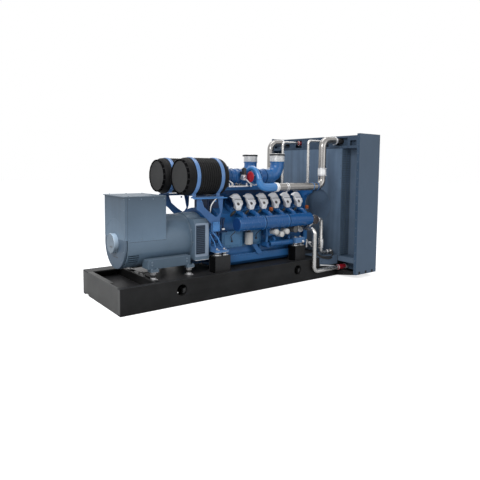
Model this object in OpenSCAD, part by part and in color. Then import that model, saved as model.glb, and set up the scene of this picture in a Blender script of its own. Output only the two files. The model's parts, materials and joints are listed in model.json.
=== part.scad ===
// Gas engine generator set: twelve-cylinder vee engine, alternator and radiator on one steel skid.
// X runs along the set from the alternator's end to the radiator, Y across it, Z up.
// The origin is on the floor, under the middle of the bounding box.

/* [Overall] */
// Length over all, from the skid's free end to the back of the radiator
total_length = 4730; // [4260:10:5200]
// Height of the crankshaft's line above the top of the skid
shaft_height = 485; // [460:5:540]

/* [Skid] */
// Width of the skid
skid_width = 1430; // [1400:10:1500]
// Height of the skid
skid_height = 365; // [330:5:400]
// Thickness of the skid's plates
skid_plate = 20; // [16:1:24]
// Width of the top rim on the near side
near_rim = 90; // [70:5:100]
// Width of the top rim on the far side
far_rim = 226; // [200:2:240]
// Width of the top rim at the free end
end_rim = 70; // [60:5:80]
// Depth of the open pit's floor below the rim
pit_depth = 125; // [100:5:150]
// Length of the open pit, as a share of the length over all
pit_share = 0.112; // [0.108:0.0005:0.114]
// Radius of the lifting holes
lift_hole_r = 81; // [70:1:90]
// Distance from the skid's free end to the first lifting holes
first_lift_x = 915; // [850:5:1000]
// Distance between the lifting holes along the skid
lift_spacing = 2255; // [2000:5:2500]
// Height of the lifting holes above the floor
lift_hole_z = 217; // [200:1:225]
// Length of each lifting tube
lift_tube_length = 155; // [120:5:200]
// Height of the outriggers' tops, which carry the radiator's sides
wing_height = 105; // [95:1:110]
// Length of each outrigger along the skid
wing_length = 80; // [60:5:100]

/* [Alternator] */
// Radius of the alternator's barrel
barrel_r = 372; // [368:1:375]
// Distance from the skid's end to the alternator's end plate
alternator_setback = 222; // [190:2:260]
// Length of the alternator up to its drive end adapter, as a share of the length over all
alternator_share = 0.2247; // [0.215:0.0001:0.24]
// Height of the terminal box's lid above the shaft line
box_height = 681; // [650:1:700]
// Length of the terminal box
box_length = 625; // [600:5:650]
// Radius of the exciter's round cover
exciter_r = 143; // [120:1:155]
// How far the exciter's cover stands out
exciter_length = 67; // [50:1:80]
// Length of the drive end adapter, as a share of the length over all
adapter_share = 0.0522; // [0.05:0.0001:0.06]
// Half width of the drive end adapter
adapter_half = 450; // [440:1:460]

/* [Engine] */
// Number of cylinders in each bank
bank_cylinders = 6; // [6:1:6]
// Distance between neighbouring cylinders
cylinder_pitch = 269; // [262:1:290]
// Angle of each bank from the upright
bank_angle = 30; // [29:0.5:31]
// Distance from the shaft line to the crankcase's top decks
deck_height = 500; // [470:5:530]
// Thickness of the cylinder heads
head_height = 60; // [50:1:65]
// Height of the rocker covers
cover_height = 182; // [174:1:190]
// Radius of the charge air manifolds
manifold_r = 112; // [104:1:116]
// Half width of the crankcase
crankcase_half = 330; // [325:1:335]
// Half width of the oil sump
sump_half = 400; // [390:1:410]

/* [Air and exhaust] */
// Distance of each air filter and turbocharger from the middle plane
turbo_y = 363; // [358:1:368]
// Height of the turbochargers' line above the shaft line
turbo_rise = 951; // [940:1:1000]
// Radius of the air filters' bodies
filter_r = 281; // [270:1:284]
// Radius of the exhaust elbows
exhaust_r = 115; // [105:1:122]
// Radius of the bore of the exhaust outlets
exhaust_bore_r = 100; // [90:1:102]
// Height of the exhaust bellows
bellows_height = 134; // [120:1:150]
// Radius of the charge air pipes
charge_r = 56; // [52:1:60]
// Radius of the thin coolant pipes
coolant_r = 25; // [22:1:28]

/* [Radiator] */
// Width of the radiator over its side panels
radiator_width = 2292; // [2150:2:2450]
// Height of the radiator's top above the floor
radiator_height = 2554; // [2450:1:2800]
// Height of the radiator's underside above the floor
radiator_ground = 73; // [40:1:80]
// Depth of the radiator from front to back, as a share of the length over all
depth_share = 0.1195; // [0.115:0.0001:0.13]
// Thickness of the radiator's side panels
side_plate = 10; // [8:1:14]
// Radius of the round fan opening
fan_r = 310; // [290:1:330]
// Distance of the fan opening's middle from the middle plane, towards the near side
fan_offset = 205; // [180:5:230]
// Half width of the fan shroud
shroud_half = 760; // [740:5:790]

/* [Hidden] */
$fn = 64;
// How far a cutting solid runs past the face that it cuts
over = 1;

alternator_length = round(alternator_share * total_length);
adapter_length = round(adapter_share * total_length);
radiator_depth = round(depth_share * total_length);
pit_length = round(pit_share * total_length);

skid_x0 = -total_length / 2;
skid_x1 = total_length / 2;
skid_half = skid_width / 2;
shaft_z = skid_height + shaft_height;
deck_z = skid_height - skid_plate;

// Lengths of the engine's housings along X
housing_length = 208;
block_margin = 138;
gear_length = 90;
first_cylinder = 377;
end_plate_t = 28;
end_plate_gap = 10;

alt_x0 = skid_x0 + alternator_setback;
barrel_x0 = alt_x0 + end_plate_t + end_plate_gap;
adapter_x0 = alt_x0 + alternator_length;
housing_x0 = adapter_x0 + adapter_length;
housing_x1 = housing_x0 + housing_length;
first_cylinder_x = housing_x1 + first_cylinder;
last_cylinder_x = first_cylinder_x + (bank_cylinders - 1) * cylinder_pitch;
block_x1 = last_cylinder_x + block_margin;
gear_x1 = block_x1 + gear_length;

// Heights over the shaft line
vee_rise = 775;
sump_joint_drop = 310;
arm_drop = 195;
mount_foot_drop = 388;
pipe_rise = 782;
fan_rise = 405;
hub_rise = 330;
vee_top = shaft_z + vee_rise;
turbo_z = shaft_z + turbo_rise;
crankcase_low = shaft_z - sump_joint_drop;
arm_z = shaft_z - arm_drop;
mount_foot_z = shaft_z - mount_foot_drop;
pipe_z = shaft_z + pipe_rise;
fan_z = shaft_z + fan_rise;
hub_z = shaft_z + hub_rise;

rad_x0 = skid_x1 - radiator_depth;
rad_half = radiator_width / 2;
rad_inner = rad_half - side_plate;
rad_flange = 60;
header_height = 222;
header_drop = 28;
header_top = radiator_height - header_drop;
header_z = header_top - header_height;
header_x0 = rad_x0 + 200;
core_x0 = rad_x0 + 240;
core_x1 = skid_x1 - 60;
port_drop = 91;
port_z = header_top - port_drop;

module box(x0, x1, y0, y1, z0, z1) {
    translate([x0, y0, z0])
        cube([x1 - x0, y1 - y0, z1 - z0]);
}

module bar_x(r, x0, x1, y, z) {
    translate([x0, y, z])
        rotate([0, 90, 0])
            cylinder(r = r, h = x1 - x0);
}

module bar_y(r, x, y0, y1, z) {
    translate([x, y0, z])
        rotate([-90, 0, 0])
            cylinder(r = r, h = y1 - y0);
}

module bar_z(r, x, y, z0, z1) {
    translate([x, y, z0])
        cylinder(r = r, h = z1 - z0);
}

module both_sides() {
    children();
    mirror([0, 1, 0])
        children();
}

// Outline in the Y Z plane, drawn out along X
module slab_x(x0, x1) {
    translate([x0, 0, 0])
        rotate([90, 0, 90])
            linear_extrude(height = x1 - x0)
                children();
}

// Outline in the X Z plane, drawn out along Y
module slab_y(y0, y1) {
    translate([0, y1, 0])
        rotate([90, 0, 0])
            linear_extrude(height = y1 - y0)
                children();
}

// The points of one half of an outline and their mirror images on the other side of Y
function mirrored(half) = concat(half,
    [for (i = [len(half) - 1:-1:0]) [-half[i][0], half[i][1]]]);

function unit(v) = v / norm(v);

module frame(from, u, v, w) {
    multmatrix([[u[0], v[0], w[0], from[0]],
                [u[1], v[1], w[1], from[1]],
                [u[2], v[2], w[2], from[2]],
                [0, 0, 0, 1]])
        children();
}

module rod(a, b, r) {
    d = unit(b - a);
    ref = abs(d[2]) < 0.9 ? [0, 0, 1] : [1, 0, 0];
    u = unit(cross(ref, d));
    frame(a, u, cross(d, u), d)
        cylinder(r = r, h = norm(b - a));
}

// Round pipe along straight runs, with a bend of radius bend_r at each inner point
module pipe(points, r, bend_r) {
    last = len(points) - 1;
    runs = [for (i = [0:last - 1]) unit(points[i + 1] - points[i])];
    turn = [for (i = [0:last]) i == 0 || i == last ? 0 : acos(runs[i - 1] * runs[i])];
    cut = [for (i = [0:last]) bend_r * tan(turn[i] / 2)];
    for (i = [0:last - 1])
        rod(points[i] + runs[i] * cut[i], points[i + 1] - runs[i] * cut[i + 1], r);
    for (i = [1:1:last - 1]) {
        inward = unit(runs[i] - runs[i - 1] * cos(turn[i]));
        centre = points[i] - runs[i - 1] * cut[i] + inward * bend_r;
        frame(centre, -inward, runs[i - 1], cross(-inward, runs[i - 1]))
            rotate_extrude(angle = turn[i])
                translate([bend_r, 0])
                    circle(r = r);
    }
}

// Frame of the near bank: X along the engine, Y towards the middle, Z out along the cylinders
module near_bank() {
    translate([0, 0, shaft_z])
        rotate([bank_angle, 0, 0])
            children();
}

// A point of the near bank in the Y Z plane; across is the distance towards the middle
function bank_point(across, height) = [across * cos(bank_angle) - height * sin(bank_angle),
    shaft_z + across * sin(bank_angle) + height * cos(bank_angle)];

// Each cylinder of both banks in its bank's frame
module each_cylinder() {
    both_sides()
        near_bank()
            for (i = [0:bank_cylinders - 1])
                translate([first_cylinder_x + i * cylinder_pitch, 0, 0])
                    children();
}

// SKID

lift_holes_x = [skid_x0 + first_lift_x, skid_x0 + first_lift_x + lift_spacing];
lift_tube_wall = 12;

// Upright web of one side beam with its two lifting tubes
module skid_side() {
    difference() {
        union() {
            box(skid_x0, skid_x1, -skid_half, -skid_half + skid_plate, 0, skid_height);
            for (x = lift_holes_x)
                bar_y(lift_hole_r + lift_tube_wall, x, -skid_half, -skid_half + lift_tube_length,
                    lift_hole_z);
        }
        for (x = lift_holes_x)
            bar_y(lift_hole_r, x, -skid_half - over, -skid_half + lift_tube_length + over,
                lift_hole_z);
    }
}

module skid_side_near() {
    color("#2e2e2e")
        skid_side();
}

module skid_side_far() {
    color("#2e2e2e")
        mirror([0, 1, 0])
            skid_side();
}

// Top rims and bottom flanges of the side beams
module skid_flanges() {
    inner = skid_half - skid_plate;
    color("#323232") {
        box(skid_x0, skid_x1, -inner, -skid_half + near_rim, deck_z, skid_height);
        box(skid_x0, skid_x1, skid_half - far_rim, inner, deck_z, skid_height);
        both_sides()
            box(skid_x0, skid_x1, -inner, -skid_half + near_rim, 0, skid_plate);
    }
}

// Upright cross plate between the side beams, with its top edge level with the rims
module full_cross_plate(x0, x1, low) {
    inner = skid_half - skid_plate;
    box(x0, x1, -inner, inner, skid_plate, deck_z);
    box(x0, x1, -skid_half + near_rim, skid_half - far_rim, low, skid_height);
}

// Distance from the near rim to the end rim
rim_gap = 300;

module skid_end_beams() {
    color("#3a3a3a") {
        full_cross_plate(skid_x0, skid_x0 + skid_plate, 0);
        box(skid_x0, skid_x0 + end_rim, -skid_half + near_rim + rim_gap, skid_half - far_rim,
            deck_z, skid_height);
        full_cross_plate(skid_x1 - skid_plate, skid_x1, 0);
    }
}

foot_shares = [0.37, 0.92];
foot_xs = [for (k = foot_shares) alt_x0 + round(k * alternator_length)];
foot_y = 420;
engine_mount_inset = 95;
engine_mount_gap = 130;
front_mount_inset = 210;
front_mount_gap = 115;
engine_mount_xs = [housing_x0 + engine_mount_inset, housing_x0 + engine_mount_inset + engine_mount_gap,
    block_x1 - front_mount_inset - front_mount_gap, block_x1 - front_mount_inset];
engine_mount_y = 530;

deck_plate = 12;
pit_x1 = skid_x0 + pit_length;
deck_gap = 120;
deck_x0 = pit_x1 + deck_gap;
cross_w = 40;
// Cross members under the deck's edge, the feet, the engine's mounts and the radiator's front
cross_xs = [deck_x0, foot_xs[1] - cross_w, engine_mount_xs[0], (housing_x1 + block_x1) / 2,
    engine_mount_xs[3], rad_x0];

module skid_cross_members() {
    inner = skid_half - skid_plate;
    color("#3a3a3a") {
        full_cross_plate(pit_x1, pit_x1 + cross_w, skid_plate);
        for (x = cross_xs)
            box(x, x + cross_w, -inner, inner, skid_plate, deck_z - deck_plate);
    }
}

module skid_plates() {
    inner = skid_half - skid_plate;
    pit_z = skid_height - pit_depth;
    color("#333333") {
        box(skid_x0 + skid_plate, pit_x1, -inner, inner, pit_z - deck_plate, pit_z);
        box(deck_x0, skid_x1 - skid_plate, -inner, inner, deck_z - deck_plate, deck_z);
    }
}

// Outriggers from the skid to the radiator's side panels, with undersides that rise outwards
module skid_wings() {
    color("#2e2e2e")
        both_sides()
            for (x = [rad_x0 + side_plate, skid_x1 - side_plate - wing_length])
                slab_x(x, x + wing_length)
                    polygon([[-skid_half, 0], [-rad_inner, radiator_ground], [-rad_inner, wing_height],
                        [-skid_half, wing_height]]);
}

// ALTERNATOR

box_half = barrel_r - 2;
box_top = shaft_z + box_height;
// Height over the shaft line at which the terminal box's end face stops
box_end_rise = 75;
box_side_rise = 45;
box_low = shaft_z + box_end_rise;

slit_count = 4;
slit_pitch = 32;
slit_height = 12;
slit_length = 166;
slit_step = 8;
slit_drop = 158;
slit_y = 250;

module alternator_barrel() {
    slit_x1 = barrel_x0 + 14 + slit_length;
    color("#66788a")
        difference() {
            bar_x(barrel_r, barrel_x0, adapter_x0, 0, shaft_z);
            both_sides()
                for (i = [0:slit_count - 1])
                    box(barrel_x0 + 14 + slit_step * i, slit_x1, -barrel_r + slit_height, -slit_y,
                        shaft_z - slit_drop - slit_pitch * i,
                        shaft_z - slit_drop - slit_pitch * i + slit_height);
        }
}

module alternator_end_plate() {
    color("#66788a")
        difference() {
            union() {
                bar_x(barrel_r - 4, alt_x0, alt_x0 + end_plate_t, 0, shaft_z);
                bar_x(barrel_r - 20, alt_x0 + end_plate_t, barrel_x0, 0, shaft_z);
            }
            box(alt_x0 - over, barrel_x0 + over, -barrel_r, barrel_r, box_low,
                shaft_z + barrel_r + over);
        }
}

module exciter_cover() {
    x0 = alt_x0 - exciter_length;
    z = shaft_z;
    color("#8fa6bd")
        difference() {
            bar_x(exciter_r, x0, alt_x0, 0, z);
            box(x0 - over, x0 + 8, -70, 10, z - 50, z - 38);
        }
}

lid_t = 12;
lid_lip = 22;
lid_side = 4;

module terminal_box() {
    x1 = alt_x0 + box_length;
    color("#66788a")
        difference() {
            union() {
                box(alt_x0, x1, -box_half, box_half, box_low, box_top - lid_t);
                box(barrel_x0, x1, -box_half, box_half, shaft_z + box_side_rise, box_low);
                box(alt_x0 - lid_lip, x1, -box_half - lid_side, box_half + lid_side, box_top - lid_t,
                    box_top);
            }
            bar_x(barrel_r, barrel_x0, x1 + over, 0, shaft_z);
        }
}

// The adapter's outline over the shaft line, and the grille in its side
adapter_low = -300;
adapter_bend = 235;
adapter_top = 315;
adapter_slope = 54;
slat_inset = 21;
slat_share = 0.59;
slat_count = 12;
slat_pitch = 35;
slat_height = 18;
grille_depth = 14;
grille_low = -202;
grille_high = 217;

module drive_end_adapter() {
    x0 = adapter_x0 + slat_inset;
    x1 = x0 + round(slat_share * adapter_length);
    color("#66788a") {
        difference() {
            slab_x(adapter_x0, housing_x0)
                translate([0, shaft_z]) {
                    circle(r = barrel_r + 13);
                    polygon(mirrored([[-adapter_half, adapter_low], [-adapter_half, adapter_bend],
                        [-adapter_half + adapter_slope, adapter_top]]));
                }
            both_sides()
                box(x0, x1, -adapter_half - over, -adapter_half + grille_depth,
                    shaft_z + grille_low, shaft_z + grille_high);
        }
        both_sides()
            for (i = [0:slat_count - 1])
                box(x0, x1, -adapter_half + 2, -adapter_half + grille_depth,
                    shaft_z + grille_low + 6 + slat_pitch * i,
                    shaft_z + grille_low + 6 + slat_height + slat_pitch * i);
    }
}

rail_drop = 348;
rail_height = 135;
rail_share = 0.6425;
rail_depth = 200;
foot_half = 60;

module alternator_feet() {
    rail_low = shaft_z - rail_drop;
    rail_x1 = foot_xs[1] + 7;
    rail_length = round(rail_share * alternator_length);
    color("#66788a")
        difference() {
            both_sides() {
                box(rail_x1 - rail_length, rail_x1, -adapter_half, -adapter_half + rail_depth,
                    rail_low, rail_low + rail_height);
                for (x = foot_xs)
                    box(x - foot_half, x + foot_half, -foot_y - foot_half, -foot_y + foot_half,
                        mount_foot_z, rail_low);
            }
            bar_x(barrel_r, barrel_x0, adapter_x0, 0, shaft_z);
        }
}

mount_plate = 10;
mount_half = 48;
mount_r = 36;

// Rubber mount between two plates, standing on z0
module rubber_mount(x, y, z0, z1) {
    translate([x, y, 0]) {
        box(-mount_half, mount_half, -mount_half, mount_half, z0, z0 + mount_plate);
        bar_z(mount_r, 0, 0, z0 + mount_plate, z1 - mount_plate);
        box(-mount_half, mount_half, -mount_half, mount_half, z1 - mount_plate, z1);
    }
}

mount_height = 55;
pedestal_z = arm_z - mount_height;

module rubber_mounts() {
    color("silver")
        both_sides() {
            for (x = foot_xs)
                rubber_mount(x, -foot_y, deck_z, mount_foot_z);
            for (x = engine_mount_xs)
                rubber_mount(x, -engine_mount_y, pedestal_z, arm_z);
        }
}

// ENGINE

housing_r = 430;
housing_rim = 20;
housing_rim_length = 28;

module flywheel_housing() {
    color("#2f66a5")
        union() {
            bar_x(housing_r, housing_x0, housing_x1, 0, shaft_z);
            bar_x(housing_r + housing_rim, housing_x0, housing_x0 + housing_rim_length, 0, shaft_z);
        }
}

deck_half = 145;
valley_half = 100;
valley_z = shaft_z + 450;
shoulder_z = shaft_z + 120;

module crankcase() {
    outer = bank_point(-deck_half, deck_height);
    inner = bank_point(deck_half, deck_height);
    color("#2f66a5")
        slab_x(housing_x1, block_x1)
            polygon(mirrored([[-crankcase_half, crankcase_low], [-crankcase_half, shoulder_z],
                outer, inner, [-valley_half, valley_z]]));
}

sump_gap = 5;
sump_chamfer = 60;
sump_setback = 20;

module oil_sump() {
    low = skid_height + sump_gap;
    color("#2f66a5")
        slab_x(housing_x1, block_x1 - sump_setback)
            polygon(mirrored([[-sump_half + sump_chamfer, low], [-sump_half, low + sump_chamfer],
                [-sump_half, crankcase_low]]));
}

door_x = 69;
door_length = 405;
door_depth = 70;
door_gap = 14;
small_door_length = 397;
small_door_depth = 40;
door_z0 = shaft_z - 178;
door_z1 = shaft_z + 80;

module crankcase_doors() {
    x0 = housing_x1 + door_x;
    x1 = x0 + door_length;
    color("#3a72ad")
        both_sides() {
            box(x0, x1, -crankcase_half - door_depth, -crankcase_half, door_z0, door_z1);
            box(x1 + door_gap, x1 + door_gap + small_door_length, -crankcase_half - small_door_depth,
                -crankcase_half, door_z0, door_z1);
        }
}

// The front case follows the banks; its upper plate has a waist and an ear under each charge pipe
gear_half = deck_height * sin(bank_angle) + 150;
gear_cut = 100;
gear_drop = 370;
gear_shoulder = 250;
waist_half = gear_half - 55;
waist_low = 310;
waist_high = 500;
ear_bend = 600;
ear_out = 110;
ear_low = 660;
ear_top = pipe_rise + 60;
ear_width = 60;
notch_rise = 740;

module gear_case() {
    color("#2a5c98")
        slab_x(block_x1, gear_x1)
            translate([0, shaft_z])
                polygon(mirrored([[-gear_half + gear_cut, -gear_drop], [-gear_half, -gear_drop + 120],
                    [-gear_half, gear_shoulder], [-waist_half, waist_low], [-waist_half, waist_high],
                    [-waist_half - 50, ear_bend], [-gear_half - ear_out, ear_low],
                    [-gear_half - ear_out - 45, ear_top], [-gear_half - ear_out - 45 + ear_width, ear_top],
                    [-gear_half - 40, notch_rise]]));
}

head_top = deck_height + head_height;
head_half = 140;
head_length = 244;

module cylinder_heads() {
    color("#2f66a5")
        each_cylinder()
            union() {
                box(-head_length / 2, head_length / 2, -head_half, head_half, deck_height, head_top);
                translate([0, 0, head_top])
                    slab_x(chamber_x0, chamber_x1)
                        cover_shape(chamber_section);
            }
}

// A rocker cover's outline along the engine: distance along X, and share of the cover's height
cover_outline = [[-40, 0], [34, 0], [54, 0.13], [66, 0.31], [92, 0.44], [102, 0.54], [94, 0.63],
    [104, 0.71], [88, 0.85], [50, 1], [-45, 1], [-80, 0.87], [-105, 0.78], [-70, 0.74], [-62, 0.64],
    [-62, 0.49], [-42, 0.24]];
// Its section across the bank: distance towards the middle, and share of the cover's height
cover_section = [[-138, 0], [-160, 0.05], [-150, 0.15], [-105, 0.49], [-42, 0.64], [4, 0.77], [32, 1],
    [60, 0.97], [58, 0.72], [0, 0.45], [-40, 0.2], [-52, 0]];
// The valve chamber behind each cover, in the same section
chamber_section = [[-50, 0], [-38, 0.2], [2, 0.45], [60, 0.71], [130, 0.71], [130, 0]];
chamber_x0 = -20;
chamber_x1 = 84;
cover_reach = 170;
plug_well_r = 22;
plug_well_depth = 60;
plug_well_x = -11;
plug_well_rise = 0.52;

module cover_shape(points) {
    polygon([for (p = points) [p[0], p[1] * cover_height]]);
}

module rocker_covers() {
    color("#c2c2c6")
        each_cylinder()
            translate([0, 0, head_top])
                difference() {
                    intersection() {
                        slab_y(-cover_reach, cover_reach)
                            cover_shape(cover_outline);
                        slab_x(-cover_reach, cover_reach)
                            cover_shape(cover_section);
                    }
                    bar_y(plug_well_r, plug_well_x, -cover_reach, -cover_reach + plug_well_depth + 65,
                        plug_well_rise * cover_height);
                }
}

// The manifold lies beyond the ends of its runners, a little below the heads
runner_r = 38;
runner_length = 200;
runner_rise = 28;
manifold_reach = 33;
manifold_drop = 46;
manifold_at = bank_point(-head_half - runner_length - manifold_reach, deck_height - manifold_drop);
manifold_start = 137;
joint_half = 22;
joint_rim = 9;
// Places of the manifold's joints, in cylinder pitches from the first cylinder
joint_places = [1.44, 3.4];

module manifolds() {
    x0 = first_cylinder_x - manifold_start;
    x1 = block_x1 - 10;
    color("#3568a8")
        both_sides() {
            bar_x(manifold_r, x0, x1, manifold_at[0], manifold_at[1]);
            for (k = joint_places)
                bar_x(manifold_r + joint_rim, first_cylinder_x + k * cylinder_pitch - joint_half,
                    first_cylinder_x + k * cylinder_pitch + joint_half, manifold_at[0], manifold_at[1]);
            for (i = [0:bank_cylinders - 1])
                translate([first_cylinder_x + i * cylinder_pitch, 0, 0])
                    runner();
        }
}

// Branch from one head's outer side down into the near manifold
module runner() {
    near_bank()
        translate([0, -head_half, deck_height + runner_rise])
            rotate([90, 0, 0])
                cylinder(r = runner_r, h = runner_length);
}

vee_cover_start = 200;
vee_half = 250;
vee_plate = 50;

module vee_cover() {
    x0 = housing_x1 + vee_cover_start;
    color("#2f66a5") {
        box(x0, block_x1, -valley_half, valley_half, valley_z, vee_top - vee_plate);
        box(x0, block_x1, -vee_half, vee_half, vee_top - vee_plate, vee_top);
    }
}

// AIR, EXHAUST AND TURBOCHARGERS

filter_length = 759;
filter_overhang = 472;
filter_x0 = housing_x0 - filter_overhang;
filter_x1 = filter_x0 + filter_length;

// Lengths along each turbocharger from the filter: inlet, compressor, neck, turbine
inlet_r = 110;
inlet_length = 370;
volute_r = 128;
volute_length = 290;
neck_r = 84;
neck_length = 40;
turbine_r = 130;
turbine_length = 161;
volute_x0 = filter_x1 + inlet_length;
neck_x0 = volute_x0 + volute_length;
turbine_x0 = neck_x0 + neck_length;
turbine_x1 = turbine_x0 + turbine_length;

saddle_start = 570;
saddle_length = 120;
actuator_r = 22;
actuator_length = 74;
actuator_y = turbo_y + 237;
actuator_arm = 28;
red_r = 84;
red_length = 26;
red_x = filter_x1 + 371;
actuator_x0 = red_x + red_length;
actuator_x1 = actuator_x0 + actuator_length;

module turbochargers() {
    color("#2f66a5")
        both_sides() {
            bar_x(inlet_r, filter_x1, volute_x0, -turbo_y, turbo_z);
            bar_x(volute_r, volute_x0, neck_x0, -turbo_y, turbo_z);
            bar_x(neck_r, neck_x0, turbine_x0, -turbo_y, turbo_z);
            bar_x(turbine_r, turbine_x0, turbine_x1, -turbo_y, turbo_z);
            box(filter_x1 + saddle_start, filter_x1 + saddle_start + saddle_length,
                -turbo_y - 60, -vee_half + 50, vee_top, turbo_z - neck_r + 14);
            bar_x(actuator_r, actuator_x0, actuator_x1, -actuator_y, turbo_z);
            box(actuator_x1 - 45, actuator_x1 - 5, -actuator_y, -turbo_y, turbo_z - actuator_arm,
                turbo_z + actuator_arm);
        }
}

exhaust_bend = 200;
exhaust_x = turbine_x1 + 290;
exhaust_rise = 249;
exhaust_top = turbo_z + exhaust_rise;
outlet_depth = 40;

module exhaust_elbows() {
    color("#3d79bd")
        both_sides()
            difference() {
                pipe([[turbine_x1, -turbo_y, turbo_z], [exhaust_x, -turbo_y, turbo_z],
                    [exhaust_x, -turbo_y, exhaust_top]], exhaust_r, exhaust_bend);
                bar_z(exhaust_bore_r, exhaust_x, -turbo_y, exhaust_top - outlet_depth, exhaust_top + over);
            }
}

bellows_wall = 18;
fold_count = 4;
fold_pitch = 18;
fold_height = 8;
fold_depth = 8;
collar_height = 30;

module exhaust_bellows() {
    top = exhaust_top + bellows_height;
    color("#d8d8d8")
        both_sides()
            difference() {
                union() {
                    bar_z(exhaust_bore_r + bellows_wall, exhaust_x, -turbo_y, exhaust_top, top);
                    for (i = [0:fold_count - 1])
                        bar_z(exhaust_bore_r + bellows_wall + fold_depth, exhaust_x, -turbo_y,
                            exhaust_top + 10 + fold_pitch * i,
                            exhaust_top + 10 + fold_height + fold_pitch * i);
                    bar_z(exhaust_bore_r + bellows_wall + fold_depth + 2, exhaust_x, -turbo_y,
                        top - collar_height, top);
                }
                bar_z(exhaust_bore_r, exhaust_x, -turbo_y, exhaust_top - over, top + over);
            }
}

rim_r = filter_r - 27;
rim_length = 36;
cone_length = 44;
dome_r = 110;
face_wall = 14;
face_depth = 12;

module air_filter() {
    body_x = rim_length + cone_length;
    color("#2c2c2c")
        translate([filter_x0, -turbo_y, turbo_z])
            rotate([0, 90, 0])
                difference() {
                    union() {
                        cylinder(r = rim_r, h = rim_length);
                        translate([0, 0, rim_length])
                            cylinder(r1 = rim_r, r2 = filter_r, h = cone_length);
                        translate([0, 0, body_x])
                            cylinder(r = filter_r, h = filter_length - body_x - dome_r);
                        translate([0, 0, filter_length - dome_r])
                            rotate_extrude()
                                intersection() {
                                    union() {
                                        square([filter_r - dome_r, dome_r]);
                                        translate([filter_r - dome_r, 0])
                                            circle(r = dome_r);
                                    }
                                    square([filter_r, dome_r]);
                                }
                    }
                    translate([0, 0, -over])
                        cylinder(r = rim_r - face_wall, h = face_depth + over);
                }
}

module air_filter_near() {
    air_filter();
}

module air_filter_far() {
    mirror([0, 1, 0])
        air_filter();
}

strap_start = 145;
strap_gap = 424;
strap_xs = [filter_x0 + strap_start, filter_x0 + strap_start + strap_gap];
strap_w = 60;
strap_t = 8;
rail_y = turbo_y + 137;
rail_z = turbo_z - 296;

module filter_straps() {
    color("#5a80b0")
        both_sides()
            for (x = strap_xs) {
                difference() {
                    bar_x(filter_r + strap_t, x, x + strap_w, -turbo_y, turbo_z);
                    bar_x(filter_r, x - over, x + strap_w + over, -turbo_y, turbo_z);
                }
                box(x, x + strap_w, -rail_y - 6, -rail_y + 6, rail_z, turbo_z - 250);
            }
}

rail_t = 20;
bracket_half = 10;
stem_inset = 18;
stem_width = 136;
fork_drop = 250;
fork_wall = 95;
plate_rise = 118;
standoff_inset = 22;
standoff_height = 70;

// Rail under the straps and a forked plate bolted to a standoff on the flywheel housing
module filter_brackets() {
    x0 = strap_xs[0] - 10;
    x1 = strap_xs[1] + strap_w + 10;
    stem_x0 = housing_x0 + stem_inset;
    stem_x1 = stem_x0 + stem_width;
    plate_low = shaft_z + plate_rise;
    fork_x0 = x0 + 90;
    fork_x1 = x1 + 50;
    color("#2f66a5")
        both_sides() {
            box(x0, fork_x1, -rail_y - 30, -rail_y + 30, rail_z - rail_t, rail_z);
            difference() {
                box(stem_x0 + standoff_inset, stem_x1 - standoff_inset, -rail_y, -housing_r / 2,
                    plate_low + standoff_inset, plate_low + standoff_inset + standoff_height);
                bar_x(housing_r, housing_x0, housing_x1, 0, shaft_z);
            }
            slab_y(-rail_y - bracket_half, -rail_y + bracket_half)
                difference() {
                    polygon([[fork_x0, rail_z - rail_t], [fork_x0, rail_z - 190], [fork_x0 + 60, rail_z - 230],
                        [stem_x0 - 40, rail_z - 390], [stem_x0, rail_z - 420], [stem_x0, plate_low],
                        [stem_x1, plate_low], [stem_x1, rail_z - 400], [stem_x1 + 15, rail_z - 320],
                        [fork_x1 - 10, rail_z - 200], [fork_x1, rail_z - rail_t]]);
                    polygon([[fork_x0 + 75, rail_z - rail_t - 15], [fork_x0 + 120, rail_z - 155],
                        [stem_x0 - 30, rail_z - fork_drop], [stem_x0 + 70, rail_z - fork_drop - 65],
                        [stem_x0 + 105, rail_z - fork_drop - 55], [stem_x1 + 15, rail_z - fork_drop],
                        [fork_x1 - fork_wall, rail_z - rail_t - 15]]);
                }
        }
}

pipe_y = 687;
elbow_wall = 6;
charge_bend = 90;
riser_bend = 130;
charge_x0 = filter_x1 + 830;
arch_inset = 115;
arch_rise = 97;
arch_x = red_x + arch_inset;
arch_z = turbo_z + arch_rise;

module charge_elbows() {
    color("#4f93dd")
        both_sides()
            difference() {
                pipe([[arch_x, -turbo_y - 70, arch_z], [arch_x, -pipe_y, arch_z],
                    [arch_x, -pipe_y, pipe_z], [charge_x0, -pipe_y, pipe_z]],
                    charge_r + elbow_wall, charge_bend);
                bar_x(volute_r, arch_x - 90, arch_x + 90, -turbo_y, turbo_z);
            }
}

riser_x = gear_x1 + 46;
// Where the charge pipe ends and its hose begins, as a share of the way to the header
charge_end_share = 0.5024;
charge_x1 = round(riser_x + charge_end_share * (header_x0 - riser_x));
collar_length = 34;
collar_rim = 14;
end_collar = 16;
sleeve_rise = 200;
sleeve_length = 100;

module charge_pipes() {
    color("#b8b4ac")
        both_sides() {
            pipe([[charge_x0, -pipe_y, pipe_z], [riser_x, -pipe_y, pipe_z],
                [riser_x, -pipe_y, port_z], [charge_x1, -pipe_y, port_z]], charge_r, riser_bend);
            bar_x(charge_r + collar_rim, charge_x0, charge_x0 + collar_length, -pipe_y, pipe_z);
            bar_x(charge_r + collar_rim - 2, charge_x1 - end_collar, charge_x1, -pipe_y, port_z);
            bar_z(charge_r + 8, riser_x, -pipe_y, pipe_z + sleeve_rise,
                pipe_z + sleeve_rise + sleeve_length);
        }
}

module charge_hoses() {
    color("#26282c")
        both_sides()
            bar_x(charge_r - 8, charge_x1, header_x0, -pipe_y, port_z);
}

coolant_y = 338;
coolant_low = vee_top - 25;
coolant_x = riser_x + 10;
coolant_bend = 46;
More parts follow.
